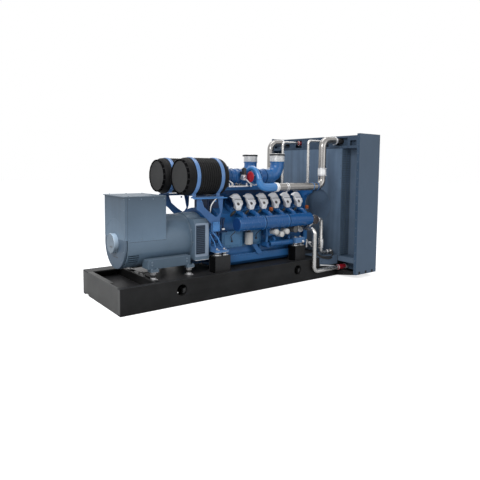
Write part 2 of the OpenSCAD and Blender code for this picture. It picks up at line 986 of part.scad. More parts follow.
// The red coupling's ends as shares of the way from the riser to the header
coupling_start_share = 0.651;
coupling_end_share = 0.911;
red_x0 = round(coolant_x + coupling_start_share * (header_x0 - coolant_x));
red_x1 = round(coolant_x + coupling_end_share * (header_x0 - coolant_x));

module coolant_pipes() {
    color("#b8b4ac")
        both_sides() {
            pipe([[gear_x1, -coolant_y, coolant_low], [coolant_x, -coolant_y, coolant_low],
                [coolant_x, -coolant_y, port_z], [red_x0, -coolant_y, port_z]],
                coolant_r, coolant_bend);
            bar_x(coolant_r, red_x1, header_x0, -coolant_y, port_z);
        }
}

// PUMPS AND PIPES AT THE ENGINE'S FRONT

lower_clearance = 48;
lower_y = skid_half + lower_clearance;
lower_z = 160;
lower_x = block_x1 - 90;
lower_r = 38;
lower_bend = 90;
// The lower coupling's ends as shares of the way from the pump to the radiator
lower_start_share = 0.682;
lower_end_share = 0.906;
lower_x1 = round(lower_x + lower_start_share * (core_x0 - lower_x));
lower_x2 = round(lower_x + lower_end_share * (core_x0 - lower_x));
water_pump_z = shaft_z + 40;
water_pump_r = 85;
water_pump_length = 90;

module red_couplings() {
    color("#a01c28") {
        both_sides() {
            bar_x(coolant_r + 12, red_x0, red_x1, -coolant_y, port_z);
            bar_x(red_r, red_x, red_x + red_length, -actuator_y, turbo_z);
        }
        bar_x(lower_r + 8, lower_x1, lower_x2, -lower_y, lower_z);
    }
}

module lower_pipe() {
    color("#d0d0cc") {
        pipe([[lower_x, -crankcase_half - water_pump_length, water_pump_z],
            [lower_x, -lower_y, water_pump_z], [lower_x, -lower_y, lower_z],
            [lower_x1, -lower_y, lower_z]], lower_r, lower_bend);
        bar_x(lower_r, lower_x2, core_x0, -lower_y, lower_z);
    }
}

module water_pump() {
    color("#2a5c98")
        bar_y(water_pump_r, lower_x, -crankcase_half - water_pump_length, -crankcase_half,
            water_pump_z);
}

pump_x = gear_x1 + 24;
pump_z = shaft_z + 182;
pump_r = 80;
pump_length = 200;
bypass_y = gear_half + 150;
bypass_bend = 48;
outlet_r = 38;
bypass_start = pump_x + pump_r + 4;
bypass_low = skid_height + 50;
bypass_r = 32;
bypass_sleeve_r = 42;
// Share of the free way to the radiator at which the bypass turns down
bypass_share = 0.195;
bypass_x = round(bypass_start + bypass_bend
    + bypass_share * (rad_x0 - bypass_start - 2 * bypass_bend));

module auxiliary_pump() {
    color("#4a4040")
        union() {
            bar_y(pump_r, pump_x, -gear_half - pump_length, -gear_half, pump_z);
            bar_x(outlet_r, pump_x, bypass_start, -bypass_y, pump_z);
        }
}

module bypass_pipe() {
    color("#d0d0cc") {
        pipe([[bypass_start, -bypass_y, pump_z], [bypass_x, -bypass_y, pump_z],
            [bypass_x, -bypass_y, bypass_low], [rad_x0, -bypass_y, bypass_low]],
            bypass_r, bypass_bend);
        bar_z(bypass_sleeve_r, bypass_x, -bypass_y, shaft_z - 345, shaft_z - 180);
    }
}

arm_y = 600;
rear_arm_inset = 33;
rear_arm_length = 239;
foot_plate = 30;
foot_run = 70;
arm_rise = 145;
front_arm_length = 215;
front_arm_height = 90;
front_arm_inset = 160;
pedestal_extra = 38;
pedestal_margin = 8;
pedestal_gap = 20;

module engine_pedestals() {
    rear_x0 = housing_x0 + rear_arm_inset - pedestal_margin;
    front_x1 = block_x1 - front_arm_inset + 5;
    color("#262626")
        difference() {
            both_sides() {
                box(rear_x0, rear_x0 + rear_arm_length + pedestal_extra, -arm_y, -sump_half - pedestal_gap,
                    deck_z, pedestal_z);
                box(front_x1 - front_arm_length - 10, front_x1, -arm_y, -sump_half - pedestal_gap,
                    deck_z, pedestal_z);
            }
            box(skid_x0, skid_x1, skid_half - far_rim, skid_half, deck_z - over, skid_height);
        }
}

module engine_arms() {
    rear_x0 = housing_x0 + rear_arm_inset;
    front_x1 = block_x1 - front_arm_inset;
    color("#2f66a5")
        both_sides() {
            difference() {
                slab_x(rear_x0, rear_x0 + rear_arm_length)
                    polygon([[-arm_y, arm_z], [-arm_y, arm_z + foot_plate], [-arm_y + foot_run, arm_z + foot_plate + 10],
                        [-crankcase_half, arm_z + arm_rise], [-crankcase_half, arm_z]]);
                bar_x(housing_r, housing_x0, housing_x1, 0, shaft_z);
            }
            box(front_x1 - front_arm_length, front_x1, -arm_y, -crankcase_half, arm_z,
                arm_z + front_arm_height);
        }
}

filter_head_depth = 170;
filter_head_y = crankcase_half + filter_head_depth;
oil_filter_r = 48;
oil_filter_length = 150;
// The filters and their head hang below the manifold
filter_level = manifold_at[1] - manifold_r - 95;
// Each oil filter's place: along X from the crankcase's start, and over their level
oil_filter_places = [[1012, 40], [1129, -6], [1250, 32]];
rear_filter_x = 1575;
rear_filter_rise = 33;
rear_filter_r = 60;

module oil_filters() {
    color("#d8d8d2")
        for (p = oil_filter_places)
            bar_y(oil_filter_r, housing_x1 + p[0], -filter_head_y - oil_filter_length, -filter_head_y,
                filter_level + p[1]);
    color("#8f8f8a")
        bar_y(rear_filter_r, housing_x1 + rear_filter_x, -filter_head_y, -crankcase_half, filter_level + rear_filter_rise);
}

filter_head_x = 945;
filter_head_length = 400;
cooler_x = 958;
cooler_length = 520;
cooler_r = 48;
cooler_drop = 170;
cooler_y = filter_head_y;
cooler_foot = 40;
cooler_feet = [1000, 1390];

module oil_cooler() {
    x0 = housing_x1 + filter_head_x;
    z = shaft_z - cooler_drop;
    color("#2f66a5") {
        box(x0, x0 + filter_head_length, -filter_head_y, -crankcase_half, filter_level - 30, filter_level + 85);
        bar_x(cooler_r, housing_x1 + cooler_x, housing_x1 + cooler_x + cooler_length, -cooler_y, z);
        for (x = cooler_feet)
            box(housing_x1 + x, housing_x1 + x + cooler_foot, -cooler_y, -crankcase_half,
                z - cooler_foot / 2, z + cooler_foot / 2);
    }
}

canister_r = 72;
canister_x = 568;

module breather_canister() {
    color("#c8c8c0")
        bar_z(canister_r, housing_x1 + canister_x, -crankcase_half - small_door_depth - canister_r,
            shaft_z - 152, shaft_z + 56);
}

pulley_r = 190;
pulley_length = 90;

module crank_pulley() {
    color("#26282c")
        bar_x(pulley_r, gear_x1, gear_x1 + pulley_length, 0, shaft_z);
}

hub_r = 120;
hub_length = 90;

// Pulley over the crankshaft's
module front_hub() {
    color("#26282c")
        bar_x(hub_r, gear_x1, gear_x1 + hub_length, 0, hub_z);
}

// RADIATOR

module radiator_sides() {
    color("#52657a")
        both_sides() {
            box(rad_x0, skid_x1, -rad_half, -rad_inner, radiator_ground, radiator_height);
            box(rad_x0, rad_x0 + side_plate, -rad_inner, -rad_half + rad_flange, radiator_ground,
                radiator_height);
            box(skid_x1 - side_plate, skid_x1, -rad_inner, -rad_half + rad_flange, radiator_ground,
                radiator_height);
        }
}

shelf_height = 95;

// Shelf beside the skid under the core, and the bottom tank that the lower pipe enters
module radiator_base() {
    color("#3a4654")
        both_sides() {
            box(rad_x0 + side_plate, core_x1, -rad_inner, -skid_half, skid_height - shelf_height,
                skid_height);
            box(core_x0, core_x1, -rad_inner, -skid_half, wing_height, skid_height - shelf_height);
        }
}

module radiator_core() {
    color("#3c4856")
        box(core_x0, core_x1, -rad_inner, rad_inner, skid_height, header_z);
}

fan_recess = 70;

module fan_shroud() {
    color("#52657a")
        difference() {
            box(rad_x0, core_x0, -shroud_half, shroud_half, skid_height, header_z);
            bar_x(fan_r, rad_x0 - over, rad_x0 + fan_recess, -fan_offset, fan_z);
        }
}

lip_height = 15;
band_t = 10;
// Openings in the header's front band: near and far ends across, low and high ends over the band's foot
band_openings = [[-865, -610, 50, 185], [-1060, -925, 48, 136], [-430, -270, 40, 185]];

// Header tank, its top lip, and a front band that the pipes pass through
module radiator_header() {
    band_x = rad_x0 + side_plate;
    color("#45546a") {
        box(header_x0, core_x1, -rad_inner, rad_inner, header_z, header_top);
        box(band_x, header_x0, -rad_inner, rad_inner, header_top - lip_height, header_top);
        difference() {
            box(band_x, band_x + band_t, -rad_inner, rad_inner, header_z, header_top - lip_height);
            both_sides()
                for (o = band_openings)
                    box(band_x - over, band_x + band_t + over, o[0], o[1], header_z + o[2], header_z + o[3]);
        }
    }
}

grille_bars = 12;
grille_frame = 70;
grille_bar = 10;

module rear_grille() {
    x0 = core_x1;
    x1 = skid_x1 - side_plate;
    y = rad_inner - grille_frame;
    z0 = skid_height + grille_frame;
    z1 = header_top - grille_frame;
    pitch = (z1 - z0) / (grille_bars + 1);
    color("#45546a") {
        difference() {
            box(x0, x1, -rad_inner, rad_inner, skid_height, header_top);
            box(x0 - over, x1 + over, -y, y, z0, z1);
        }
        for (i = [1:grille_bars])
            box(x0, x1, -y, y, z0 + i * pitch - grille_bar / 2, z0 + i * pitch + grille_bar / 2);
    }
}

skid_side_near();
skid_side_far();
skid_flanges();
skid_end_beams();
skid_cross_members();
skid_plates();
skid_wings();
alternator_barrel();
alternator_end_plate();
exciter_cover();
terminal_box();
drive_end_adapter();
alternator_feet();
rubber_mounts();
flywheel_housing();
crankcase();
oil_sump();
crankcase_doors();
gear_case();
cylinder_heads();
rocker_covers();
manifolds();
vee_cover();
turbochargers();
exhaust_elbows();
exhaust_bellows();
air_filter_near();
air_filter_far();
filter_straps();
filter_brackets();
charge_elbows();
charge_pipes();
charge_hoses();
coolant_pipes();
red_couplings();
lower_pipe();
bypass_pipe();
water_pump();
auxiliary_pump();
engine_pedestals();
engine_arms();
oil_filters();
oil_cooler();
breather_canister();
crank_pulley();
front_hub();
radiator_sides();
radiator_base();
radiator_core();
fan_shroud();
radiator_header();
rear_grille();
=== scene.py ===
import json
from itertools import product
from math import cos, pi, radians, sin

import bmesh
import bpy
from mathutils import Matrix, Vector


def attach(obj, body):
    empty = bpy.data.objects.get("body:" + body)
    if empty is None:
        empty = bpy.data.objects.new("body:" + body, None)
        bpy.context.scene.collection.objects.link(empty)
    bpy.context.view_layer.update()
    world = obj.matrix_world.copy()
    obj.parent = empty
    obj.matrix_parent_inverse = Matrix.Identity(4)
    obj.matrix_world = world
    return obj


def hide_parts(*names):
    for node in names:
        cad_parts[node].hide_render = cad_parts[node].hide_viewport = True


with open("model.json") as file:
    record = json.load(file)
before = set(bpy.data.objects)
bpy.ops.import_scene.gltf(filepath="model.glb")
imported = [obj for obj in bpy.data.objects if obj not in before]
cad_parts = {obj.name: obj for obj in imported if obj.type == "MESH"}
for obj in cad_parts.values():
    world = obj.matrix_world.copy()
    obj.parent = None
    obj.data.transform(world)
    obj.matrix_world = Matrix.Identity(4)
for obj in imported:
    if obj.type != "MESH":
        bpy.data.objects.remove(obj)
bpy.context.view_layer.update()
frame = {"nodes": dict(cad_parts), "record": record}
NODES = frame["nodes"]
SCENE = bpy.context.scene


# ------------------------ materials

def node_of(tree, kind, inputs=(), **settings):
    """A shader node with its settings; each input gets a value or the socket linked to it."""
    node = tree.nodes.new(kind)
    for key, value in settings.items():
        setattr(node, key, value)
    for key, value in dict(inputs).items():
        if isinstance(value, bpy.types.NodeSocket):
            tree.links.new(value, node.inputs[key])
        else:
            node.inputs[key].default_value = value
    return node


def noise(tree, coords, scale, detail):
    values = {"Vector": coords, "Scale": scale, "Detail": detail, "Roughness": 0.55}
    return node_of(tree, "ShaderNodeTexNoise", values).outputs["Fac"]


def ramp(tree, source, low, high, out_low=0.0, out_high=1.0):
    values = {"Value": source, "From Min": low, "From Max": high, "To Min": out_low, "To Max": out_high}
    return node_of(tree, "ShaderNodeMapRange", values).outputs["Result"]


def mixed(tree, factor, a, b):
    """Two colours, each a tuple or a socket, mixed by a factor's socket."""
    a, b = ((*c, 1.0) if isinstance(c, tuple) else c for c in (a, b))
    return node_of(tree, "ShaderNodeMix", {0: factor, 6: a, 7: b}, data_type="RGBA").outputs[2]


def maths(tree, operation, *values):
    return node_of(tree, "ShaderNodeMath", enumerate(values), operation=operation).outputs[0]


M = {}


def paint(name, colour, rough, metal=0.0, vary=0.12, grain=60.0, bump=0.15, bump_scale=180.0, edge=None, corner_shade=0.35,
          coat=0.0, shine=0.5, sweep=None):
    """A painted, cast or moulded surface: colour variation, worn edges with painted highlight, painted shade in
    corners, roughness map and bump.
    """
    M[name] = mat = bpy.data.materials.new(name)
    mat.use_nodes = True
    tree = mat.node_tree
    coords = node_of(tree, "ShaderNodeTexCoord").outputs["Object"]
    fine = noise(tree, coords, grain, 6.0)
    dark = tuple(c * (1 - vary) for c in colour)
    light = tuple(min(1.0, c * (1 + vary) + 0.004) for c in colour)
    tint = mixed(tree, ramp(tree, noise(tree, coords, 2.6, 5.0), 0.35, 0.65), dark, light)
    tint = mixed(tree, ramp(tree, fine, 0.45, 0.75, 0.0, 0.35), tint, light)
    # painted shade: the colour darkens where ambient occlusion finds corners and hollows
    hollow = node_of(tree, "ShaderNodeAmbientOcclusion", {"Distance": 0.06}, samples=8).outputs["AO"]
    tint = mixed(tree, ramp(tree, hollow, 0.25, 0.85, corner_shade, 0.0), tint, tuple(c * 0.25 for c in colour))
    if sweep:
        # painted light and shade: a soft change of tone over the sheet's height, and random streaks of tone across it
        low, high, tone_low, tone_high, streaks = sweep
        height = node_of(tree, "ShaderNodeSeparateXYZ", {0: coords}).outputs["Z"]
        wide = node_of(tree, "ShaderNodeMapping", {"Vector": coords, "Scale": (1.0, 5.0, 0.35)}).outputs["Vector"]
        tone = maths(tree, "MULTIPLY", ramp(tree, height, low, high, tone_low, tone_high),
                     ramp(tree, noise(tree, wide, 1.6, 1.5), 0.35, 0.65, 1.0 - streaks, 1.0 + streaks))
        tint = node_of(tree, "ShaderNodeVectorMath", {0: tint, "Scale": tone}, operation="SCALE").outputs[0]
    if edge:
        # edges found by pointiness take the lighter edge colour: partly wear, partly painted highlight along the edges
        wear_and_sheen = ramp(tree, node_of(tree, "ShaderNodeNewGeometry").outputs["Pointiness"], 0.53, 0.60, 0.0, 0.55)
        tint = mixed(tree, wear_and_sheen, tint, edge)
    bumps = {"Strength": bump, "Distance": 0.0012, "Height": noise(tree, coords, bump_scale, 4.0)}
    shader = tree.nodes["Principled BSDF"]
    for key, source in (("Base Color", tint), ("Normal", node_of(tree, "ShaderNodeBump", bumps).outputs["Normal"]),
                        ("Roughness", ramp(tree, fine, 0.3, 0.7, max(0.03, rough - 0.03), rough + 0.04))):
        tree.links.new(source, shader.inputs[key])
    for key, value in (("Metallic", metal), ("Specular IOR Level", shine), ("Coat Weight", coat),
                       ("Coat Roughness", 0.12)):
        shader.inputs[key].default_value = value


# lighter colours for the edges: wear, and painted highlight along them
ALTERNATOR_EDGE, FOOT_EDGE, RADIATOR_EDGE = (0.24, 0.3, 0.36), (0.22, 0.28, 0.34), (0.13, 0.17, 0.22)
ENGINE_EDGE, RADIATOR_SWEEP = (0.08, 0.26, 0.55), (0.3, 2.4, 1.08, 0.86, 0.04)
# the record's slots
paint("skid_paint", (0.009, 0.009, 0.0093), 0.45, vary=0.25, edge=(0.05, 0.05, 0.053), shine=0.17)
paint("alternator_paint", (0.1, 0.153, 0.212), 0.42, vary=0.06, edge=ALTERNATOR_EDGE, shine=0.35)
paint("engine_paint", (0.009, 0.082, 0.25), 0.3, vary=0.16, edge=ENGINE_EDGE, corner_shade=0.9, coat=0.1, shine=0.25)
paint("elbow_paint", (0.038, 0.195, 0.48), 0.2, vary=0.06, coat=0.4, shine=0.4)
paint("strap_paint", (0.1, 0.22, 0.46), 0.35, vary=0.1)
# the radiator's paint and its sides' copy: painted shade, darker towards the top
paint("radiator_paint", (0.056, 0.092, 0.145), 0.5, vary=0.05, edge=RADIATOR_EDGE, shine=0.3, sweep=RADIATOR_SWEEP)
paint("cast_aluminium", (0.74, 0.74, 0.75), 0.45, metal=0.1, vary=0.07, bump=0.5, bump_scale=240.0, corner_shade=0.6)
paint("zinc_plate", (0.66, 0.66, 0.67), 0.33, metal=0.75, vary=0.08, corner_shade=0.5)
paint("pipe_steel", (0.6, 0.59, 0.57), 0.26, metal=0.9, vary=0.04, bump=0.03, corner_shade=0.3)
paint("bellows_steel", (0.86, 0.86, 0.85), 0.35, metal=0.25, vary=0.05)
paint("filter_plastic", (0.0075, 0.0075, 0.0078), 0.55, vary=0.2, bump=0.3, edge=(0.035, 0.035, 0.035), shine=0.12)
paint("black_rubber", (0.014, 0.014, 0.015), 0.62, vary=0.2, bump=0.3)
paint("red_silicone", (0.36, 0.01, 0.022), 0.4)
paint("dark_cap", (0.05, 0.04, 0.04), 0.45)
paint("canister_paint", (0.43, 0.425, 0.41), 0.35, vary=0.06, corner_shade=0.4)
paint("black_paint", (0.014, 0.014, 0.015), 0.4, vary=0.2)
# finishes that vary one of the slots' own
paint("manifold_paint", (0.008, 0.085, 0.26), 0.25, vary=0.05, grain=25.0, bump=0.05, edge=(0.14, 0.38, 0.72),
      corner_shade=0.75, coat=0.15, shine=0.3)
paint("door_paint", (0.03, 0.125, 0.26), 0.35, vary=0.1, edge=(0.12, 0.26, 0.42), corner_shade=0.5)
# a lighter blue for the housing's pipes and the bracket's fittings: painted highlight
paint("sheen_blue", (0.045, 0.19, 0.46), 0.25, corner_shade=0.6, coat=0.4)
paint("bracket_paint", (0.045, 0.125, 0.3), 0.4, vary=0.14, edge=(0.14, 0.3, 0.55), corner_shade=0.6, shine=0.35)
paint("orange_cap", (0.42, 0.1, 0.02), 0.4, vary=0.1)
paint("void", (0.0025, 0.0025, 0.003), 0.9, vary=0.1, bump=0.05, shine=0.02)
paint("filter_face", (0.035, 0.035, 0.035), 0.55, bump=0.25, shine=0.2)
# a paler copy of the filter's plastic: painted highlights on its clips and lugs
paint("filter_lug", (0.055, 0.055, 0.057), 0.5, shine=0.3)
# a grey far darker than the covers' aluminium: painted shade in their grooves
paint("groove_shade", (0.22, 0.23, 0.24), 0.5, vary=0.1)
paint("can_grey", (0.55, 0.54, 0.52), 0.4, vary=0.06, corner_shade=0.5)
paint("can_dark", (0.17, 0.17, 0.165), 0.45, vary=0.1, corner_shade=0.5)
paint("fin_paint", (0.085, 0.125, 0.165), 0.5, vary=0.08)
paint("core_paint", (0.098, 0.142, 0.205), 0.5, vary=0.06, corner_shade=0.2)
# a darker copy of the engine's paint for the heads: painted shade in the gaps between the covers
paint("head_shaded_paint", (0.006, 0.048, 0.155), 0.3, vary=0.2, edge=(0.06, 0.24, 0.55), corner_shade=0.9, coat=0.1, shine=0.3)
# a much darker copy of the engine's paint: painted shade, for the rear casing and the housing's fittings
paint("navy", (0.006, 0.024, 0.075), 0.4, vary=0.15, corner_shade=0.8, shine=0.3)
# the shroud's paint grows lighter towards the top: painted light
paint("shroud_paint", (0.066, 0.103, 0.155), 0.5, vary=0.06, sweep=(0.35, 2.45, 0.85, 1.75, 0.16))
# a darker navy for the manifold's joints and end cap; on the cap it is painted shade
paint("cap_navy", (0.006, 0.042, 0.16), 0.35, vary=0.15, corner_shade=0.7, shine=0.3)
paint("header_paint", (0.046, 0.075, 0.118), 0.5, vary=0.08, corner_shade=0.25, shine=0.25)
paint("fan_dark", (0.105, 0.16, 0.24), 0.6, vary=0.1, corner_shade=0.2, shine=0.15)
# a copy of the alternator's paint for the terminal box, lighter low down and darker towards its top: painted light and
# shade
paint("box_shaded_paint", (0.114, 0.168, 0.23), 0.42, vary=0.05, edge=ALTERNATOR_EDGE, shine=0.35,
      sweep=(0.92, 1.5, 1.22, 0.6, 0.05))
# darker copies of the alternator's paint for its feet and end plate: painted shade
paint("feet_shaded_paint", (0.078, 0.12, 0.165), 0.42, vary=0.06, edge=FOOT_EDGE, shine=0.35)
paint("end_shaded_paint", (0.072, 0.11, 0.158), 0.42, vary=0.06, edge=FOOT_EDGE, shine=0.35)
paint("charge_steel", (0.3, 0.29, 0.28), 0.24, metal=0.9, vary=0.04, bump=0.03, corner_shade=0.3)
paint("exhaust_blue", (0.018, 0.12, 0.34), 0.28, vary=0.1, edge=(0.1, 0.3, 0.6), corner_shade=0.6, coat=0.2, shine=0.3)
paint("sump_paint", (0.014, 0.105, 0.3), 0.32, edge=ENGINE_EDGE, corner_shade=0.8, shine=0.3)
# lighter copies of the alternator's paint for the exciter: painted light on its face, and a painted highlight on its
# wall that grows towards the top
paint("exciter_lit_paint", (0.14, 0.2, 0.26), 0.2, vary=0.06, coat=0.5)
paint("exciter_wall_highlight", (0.3, 0.38, 0.46), 0.2, vary=0.06, coat=0.6, sweep=(0.78, 0.97, 0.55, 1.9, 0.05))
paint("adapter_light", (0.22, 0.29, 0.39), 0.4, vary=0.08, edge=(0.4, 0.46, 0.52))
# darker copies of the alternator's paint for the grille's back and slats: painted shade in the grille
paint("grille_shade", (0.01, 0.017, 0.028), 0.6, vary=0.1, shine=0.2)
paint("grille_slats", (0.03, 0.05, 0.082), 0.45, vary=0.08, shine=0.25)
paint("trim_dark", (0.03, 0.045, 0.07), 0.5, vary=0.1)
# a lighter copy of the skid's paint for the end beams: painted light on the faces that the key lamp lights
paint("end_beam_lit_paint", (0.06, 0.06, 0.058), 0.5, vary=0.15, edge=(0.2, 0.2, 0.2), shine=0.3)
# a lighter copy of the skid's paint for the deck plates: painted light on their tops
paint("deck_lit_paint", (0.05, 0.05, 0.052), 0.35, vary=0.15, edge=(0.2, 0.2, 0.2))
# a darker copy of the radiator's paint for its side panels: painted shade on the sides
paint("side_shaded_paint", (0.043, 0.082, 0.138), 0.5, vary=0.05, edge=RADIATOR_EDGE, shine=0.3, sweep=RADIATOR_SWEEP)


def notch_marks(mat, places, half, top):
    """The slots along the side panels' lower edges, too shallow to model, as dark marks at set places: painted shade
    inside the slots.
    """
    tree = mat.node_tree
    coords = node_of(tree, "ShaderNodeTexCoord").outputs["Object"]
    parts = node_of(tree, "ShaderNodeSeparateXYZ", {0: coords}).outputs
    marks = maths(tree, "COMPARE", parts["X"], places[0], half)
    for x in places[1:]:
        marks = maths(tree, "MAXIMUM", marks, maths(tree, "COMPARE", parts["X"], x, half))
    marks = maths(tree, "MULTIPLY", marks, maths(tree, "LESS_THAN", parts["Z"], top))
    colour = tree.nodes["Principled BSDF"].inputs["Base Color"]
    tree.links.new(mixed(tree, marks, colour.links[0].from_socket, (0.003, 0.003, 0.004)), colour)


notch_marks(M["side_shaded_paint"], (1.892, 2.072, 2.25), 0.025, 0.128)

NODE_FINISH = {subpart["node"]: subpart["material_slot"] for subpart in frame["record"]["subparts"]}
NODE_FINISH.update({
    "skid_end_beams": "end_beam_lit_paint", "crankcase_doors": "door_paint", "fan_shroud": "shroud_paint",
    "radiator_header": "header_paint", "filter_brackets": "bracket_paint", "engine_arms": "bracket_paint",
    "cylinder_heads": "head_shaded_paint", "radiator_core": "core_paint", "radiator_sides": "side_shaded_paint",
    "terminal_box": "box_shaded_paint", "alternator_feet": "feet_shaded_paint", "alternator_end_plate": "end_shaded_paint",
    "charge_pipes": "charge_steel", "exhaust_elbows": "exhaust_blue", "oil_sump": "sump_paint"})


def break_edges(obj, width, angle):
    cut = obj.modifiers.new("bevel", "BEVEL")
    cut.width, cut.segments, cut.limit_method, cut.angle_limit = width, 2, "ANGLE", radians(angle)


# each CAD solid that stays gets its finish, and small bevels along its edges
for node_name, obj in NODES.items():
    obj.data.materials.clear()
    obj.data.materials.append(M[NODE_FINISH[node_name]])
    obj.modifiers.new("weld", "WELD").merge_threshold = 0.00002
    break_edges(obj, 0.003, 38)


# ------------------------ mesh helpers

# the mesh that the helpers add to, until make() turns it into a piece; lengths are millimetres
shape = bmesh.new()
MM = 0.001
AXES = {"x": Matrix(((0, 0, 1), (1, 0, 0), (0, 1, 0))), "y": Matrix(((0, 1, 0), (0, 0, 1), (1, 0, 0))),
        "z": Matrix.Identity(3)}


def loop_of(points):
    return [shape.verts.new(Vector(p) * MM) for p in points]


def join(low, high):
    """A strip of faces between two loops; a loop of one point makes it a cone."""
    n = max(len(low), len(high))
    for i in range(n):
        j = (i + 1) % n
        corners = (low[i % len(low)], low[j % len(low)], high[j % len(high)], high[i % len(high)])
        shape.faces.new(list(dict.fromkeys(corners)))


def stack(loops):
    """Loops joined in turn, and closed at both ends."""
    for low, high in zip(loops, loops[1:]):
        join(low, high)
    for end in (loops[0][::-1], loops[-1]):
        if len(end) > 1:
            shape.faces.new(end)


def circle(count, r=1.0, start=0.0):
    """Points round a circle; start is in degrees."""
    angles = [2 * pi * i / count + radians(start) for i in range(count)]
    return [(r * cos(a), r * sin(a)) for a in angles]


def rows(at):
    """The places that at stands for: a list in place of a coordinate gives a row."""
    return map(Vector, product(*(v if isinstance(v, (list, tuple)) else [v] for v in at)))


def lathe(axis, at, profile, segments=40):
    """A turned form: profile is (distance along the axis, radius)."""
    for at in rows(at):
        stack([loop_of([at + AXES[axis] @ Vector((u, v, h)) for u, v in circle(segments if r > 1e-6 else 1, r)])
               for h, r in profile])


def wheel(axis, at, section, segments):
    """A section of (distance along the axis, radius) turned into a closed ring."""
    for at in rows(at):
        loops = [loop_of([at + AXES[axis] @ Vector((r * u, r * v, h)) for h, r in section])
                 for u, v in circle(segments)]
        for low, high in zip(loops, loops[1:] + loops[:1]):
            join(low, high)


def ring(axis, at, r, minor, width, segments=40):
    """A band round an axis, open in the middle, with rounded edges."""
    w = width / 2
    section = [(-w, -minor), (-w, minor * 0.4), (-w * 0.6, minor), (w * 0.6, minor), (w, minor * 0.4), (w, -minor)]
    wheel(axis, at, [(h, r + d) for h, d in section], segments)


def prism(axis, outline, low, high):
    """An outline in the plane across an axis, from low to high along it."""
    point = {"x": lambda u, v, h: (h, u, v), "y": lambda u, v, h: (u, h, v), "z": lambda u, v, h: (u, v, h)}[axis]
    stack([loop_of([point(u, v, h) for u, v in outline]) for h in (low, high)])


def block(x0, x1, y0, y1, z0, z1, cut=0.0):
    """A box; with cut, its edges along Y are chamfered."""
    if cut:
        prism("y", [(x0 + cut, z0), (x1 - cut, z0), (x1, z0 + cut), (x1, z1 - cut), (x1 - cut, z1), (x0 + cut, z1),
                    (x0, z1 - cut), (x0, z0 + cut)], y0, y1)
    else:
        prism("z", [(x0, y0), (x1, y0), (x1, y1), (x0, y1)], z0, z1)


def smooth_line(points, count=6):
    """A smooth curve through the points."""
    pts = [Vector(p) for p in points]
    pts = [2 * pts[0] - pts[1]] + pts + [2 * pts[-1] - pts[-2]]
    out = []
    for p0, p1, p2, p3 in zip(pts, pts[1:], pts[2:], pts[3:]):
        for t in (k / count for k in range(count)):
            out.append(0.5 * (2 * p1 + (p2 - p0) * t + (2 * p0 - 5 * p1 + 4 * p2 - p3) * t ** 2
                              + (3 * p1 - p0 - 3 * p2 + p3) * t ** 3))
    return out + [pts[-2]]


def tube(path, radii, segments=16):
    """A round tube along a line of points; radii is one radius, or a list spread along the line."""
    path = [Vector(p) for p in path]
    if not isinstance(radii, (list, tuple)):
        radii = [radii, radii]
    lengths = [0.0]
    for a, b in zip(path, path[1:]):
        lengths.append(lengths[-1] + (b - a).length)
    side, loops = (path[1] - path[0]).normalized().orthogonal().normalized(), []
    for i, p in enumerate(path):
        ahead = (path[min(i + 1, len(path) - 1)] - path[max(i - 1, 0)]).normalized()
        side = (side - ahead * side.dot(ahead)).normalized()
        up = ahead.cross(side)
        share = lengths[i] / lengths[-1] * (len(radii) - 1)
        k = min(int(share), len(radii) - 2)
        r = radii[k] + (radii[k + 1] - radii[k]) * (share - k)
        loops.append(loop_of([p + (side * u + up * v) * r for u, v in circle(segments)]))
    stack(loops)


def hose(points, count, radii, segments):
    """A tube along a smooth curve."""
    tube(smooth_line(points, count), radii, segments)


def bolt(axis, at, r, out=1):
    """A washer and a hexagon head that stand out of a face, along the axis or against it."""
    lathe(axis, at, [(-0.3 * r * out, 1.5 * r), (0.25 * r * out, 1.5 * r)], 12)
    lathe(axis, at, [(0, r), (r * out, r), (1.2 * r * out, 0.75 * r)], 6)


def bolt_circle(at, across, count, start, r, out=1):
    """Bolts round a circle across X, the first at the start angle in degrees."""
    x, y, z = at
    for u, v in circle(count, across, start):
        bolt("x", (x, y + u, z + v), r, out)


def mirror():
    copy = {v: shape.verts.new((v.co.x, -v.co.y, v.co.z)) for v in list(shape.verts)}
    for face in list(shape.faces):
        shape.faces.new([copy[v] for v in reversed(face.verts)])


def make(name, slot, *replaces, side=1, bevel=0.0, angle=35, finish=None):
    """The open mesh becomes a piece that rides on the root body; side -1 turns it to the far side."""
    global shape
    for v in shape.verts:
        v.co.y *= side
    bmesh.ops.recalc_face_normals(shape, faces=shape.faces)
    mesh = bpy.data.meshes.new(name)
    shape.to_mesh(mesh)
    shape.free()
    shape = bmesh.new()
    for polygon in mesh.polygons:
        polygon.use_smooth = True
    mesh.set_sharp_from_angle(angle=radians(angle))
    obj = bpy.data.objects.new(name, mesh)
    SCENE.collection.objects.link(obj)
    mesh.materials.append(M[finish or slot])
    if bevel:
        break_edges(obj, bevel * MM, angle)
    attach(obj, "root")
    if replaces:
        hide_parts(*replaces)


def pair(*names, **look):
    """A piece with its mirror image on the far side."""
    mirror()
    make(*names, **look)


# ------------------------ places, in millimetres, as in the part's source

SHAFT_Z = 850
TURBO_Y, TURBO_Z = -363, 1801
CYLINDERS = [-248 + i * 269 for i in range(6)]
COS, SIN = cos(radians(30)), sin(radians(30))
HEAD_TOP, COVER = 560, 182
PIPE_Y, PIPE_Z, PORT_Z = -687, 1632, 2435
RISER_X, CHARGE_X1 = 1371, 1687
COOLANT_Y, RAD_X = -338, 1800


def turbo(x):
    return x, TURBO_Y, TURBO_Z


def pipe(x):
    return x, PIPE_Y, PIPE_Z


def bank(x, t, h):
    """A point of the near bank: t towards the middle, h out from the shaft."""
    return Vector((x, t * COS - h * SIN, SHAFT_Z + t * SIN + h * COS))


def lerp(table, value):
    for (a, b), (c, d) in zip(table, table[1:]):
        if value <= c:
            return b + (d - b) * (value - a) / (c - a)
    return table[-1][1]


# ------------------------ air filters

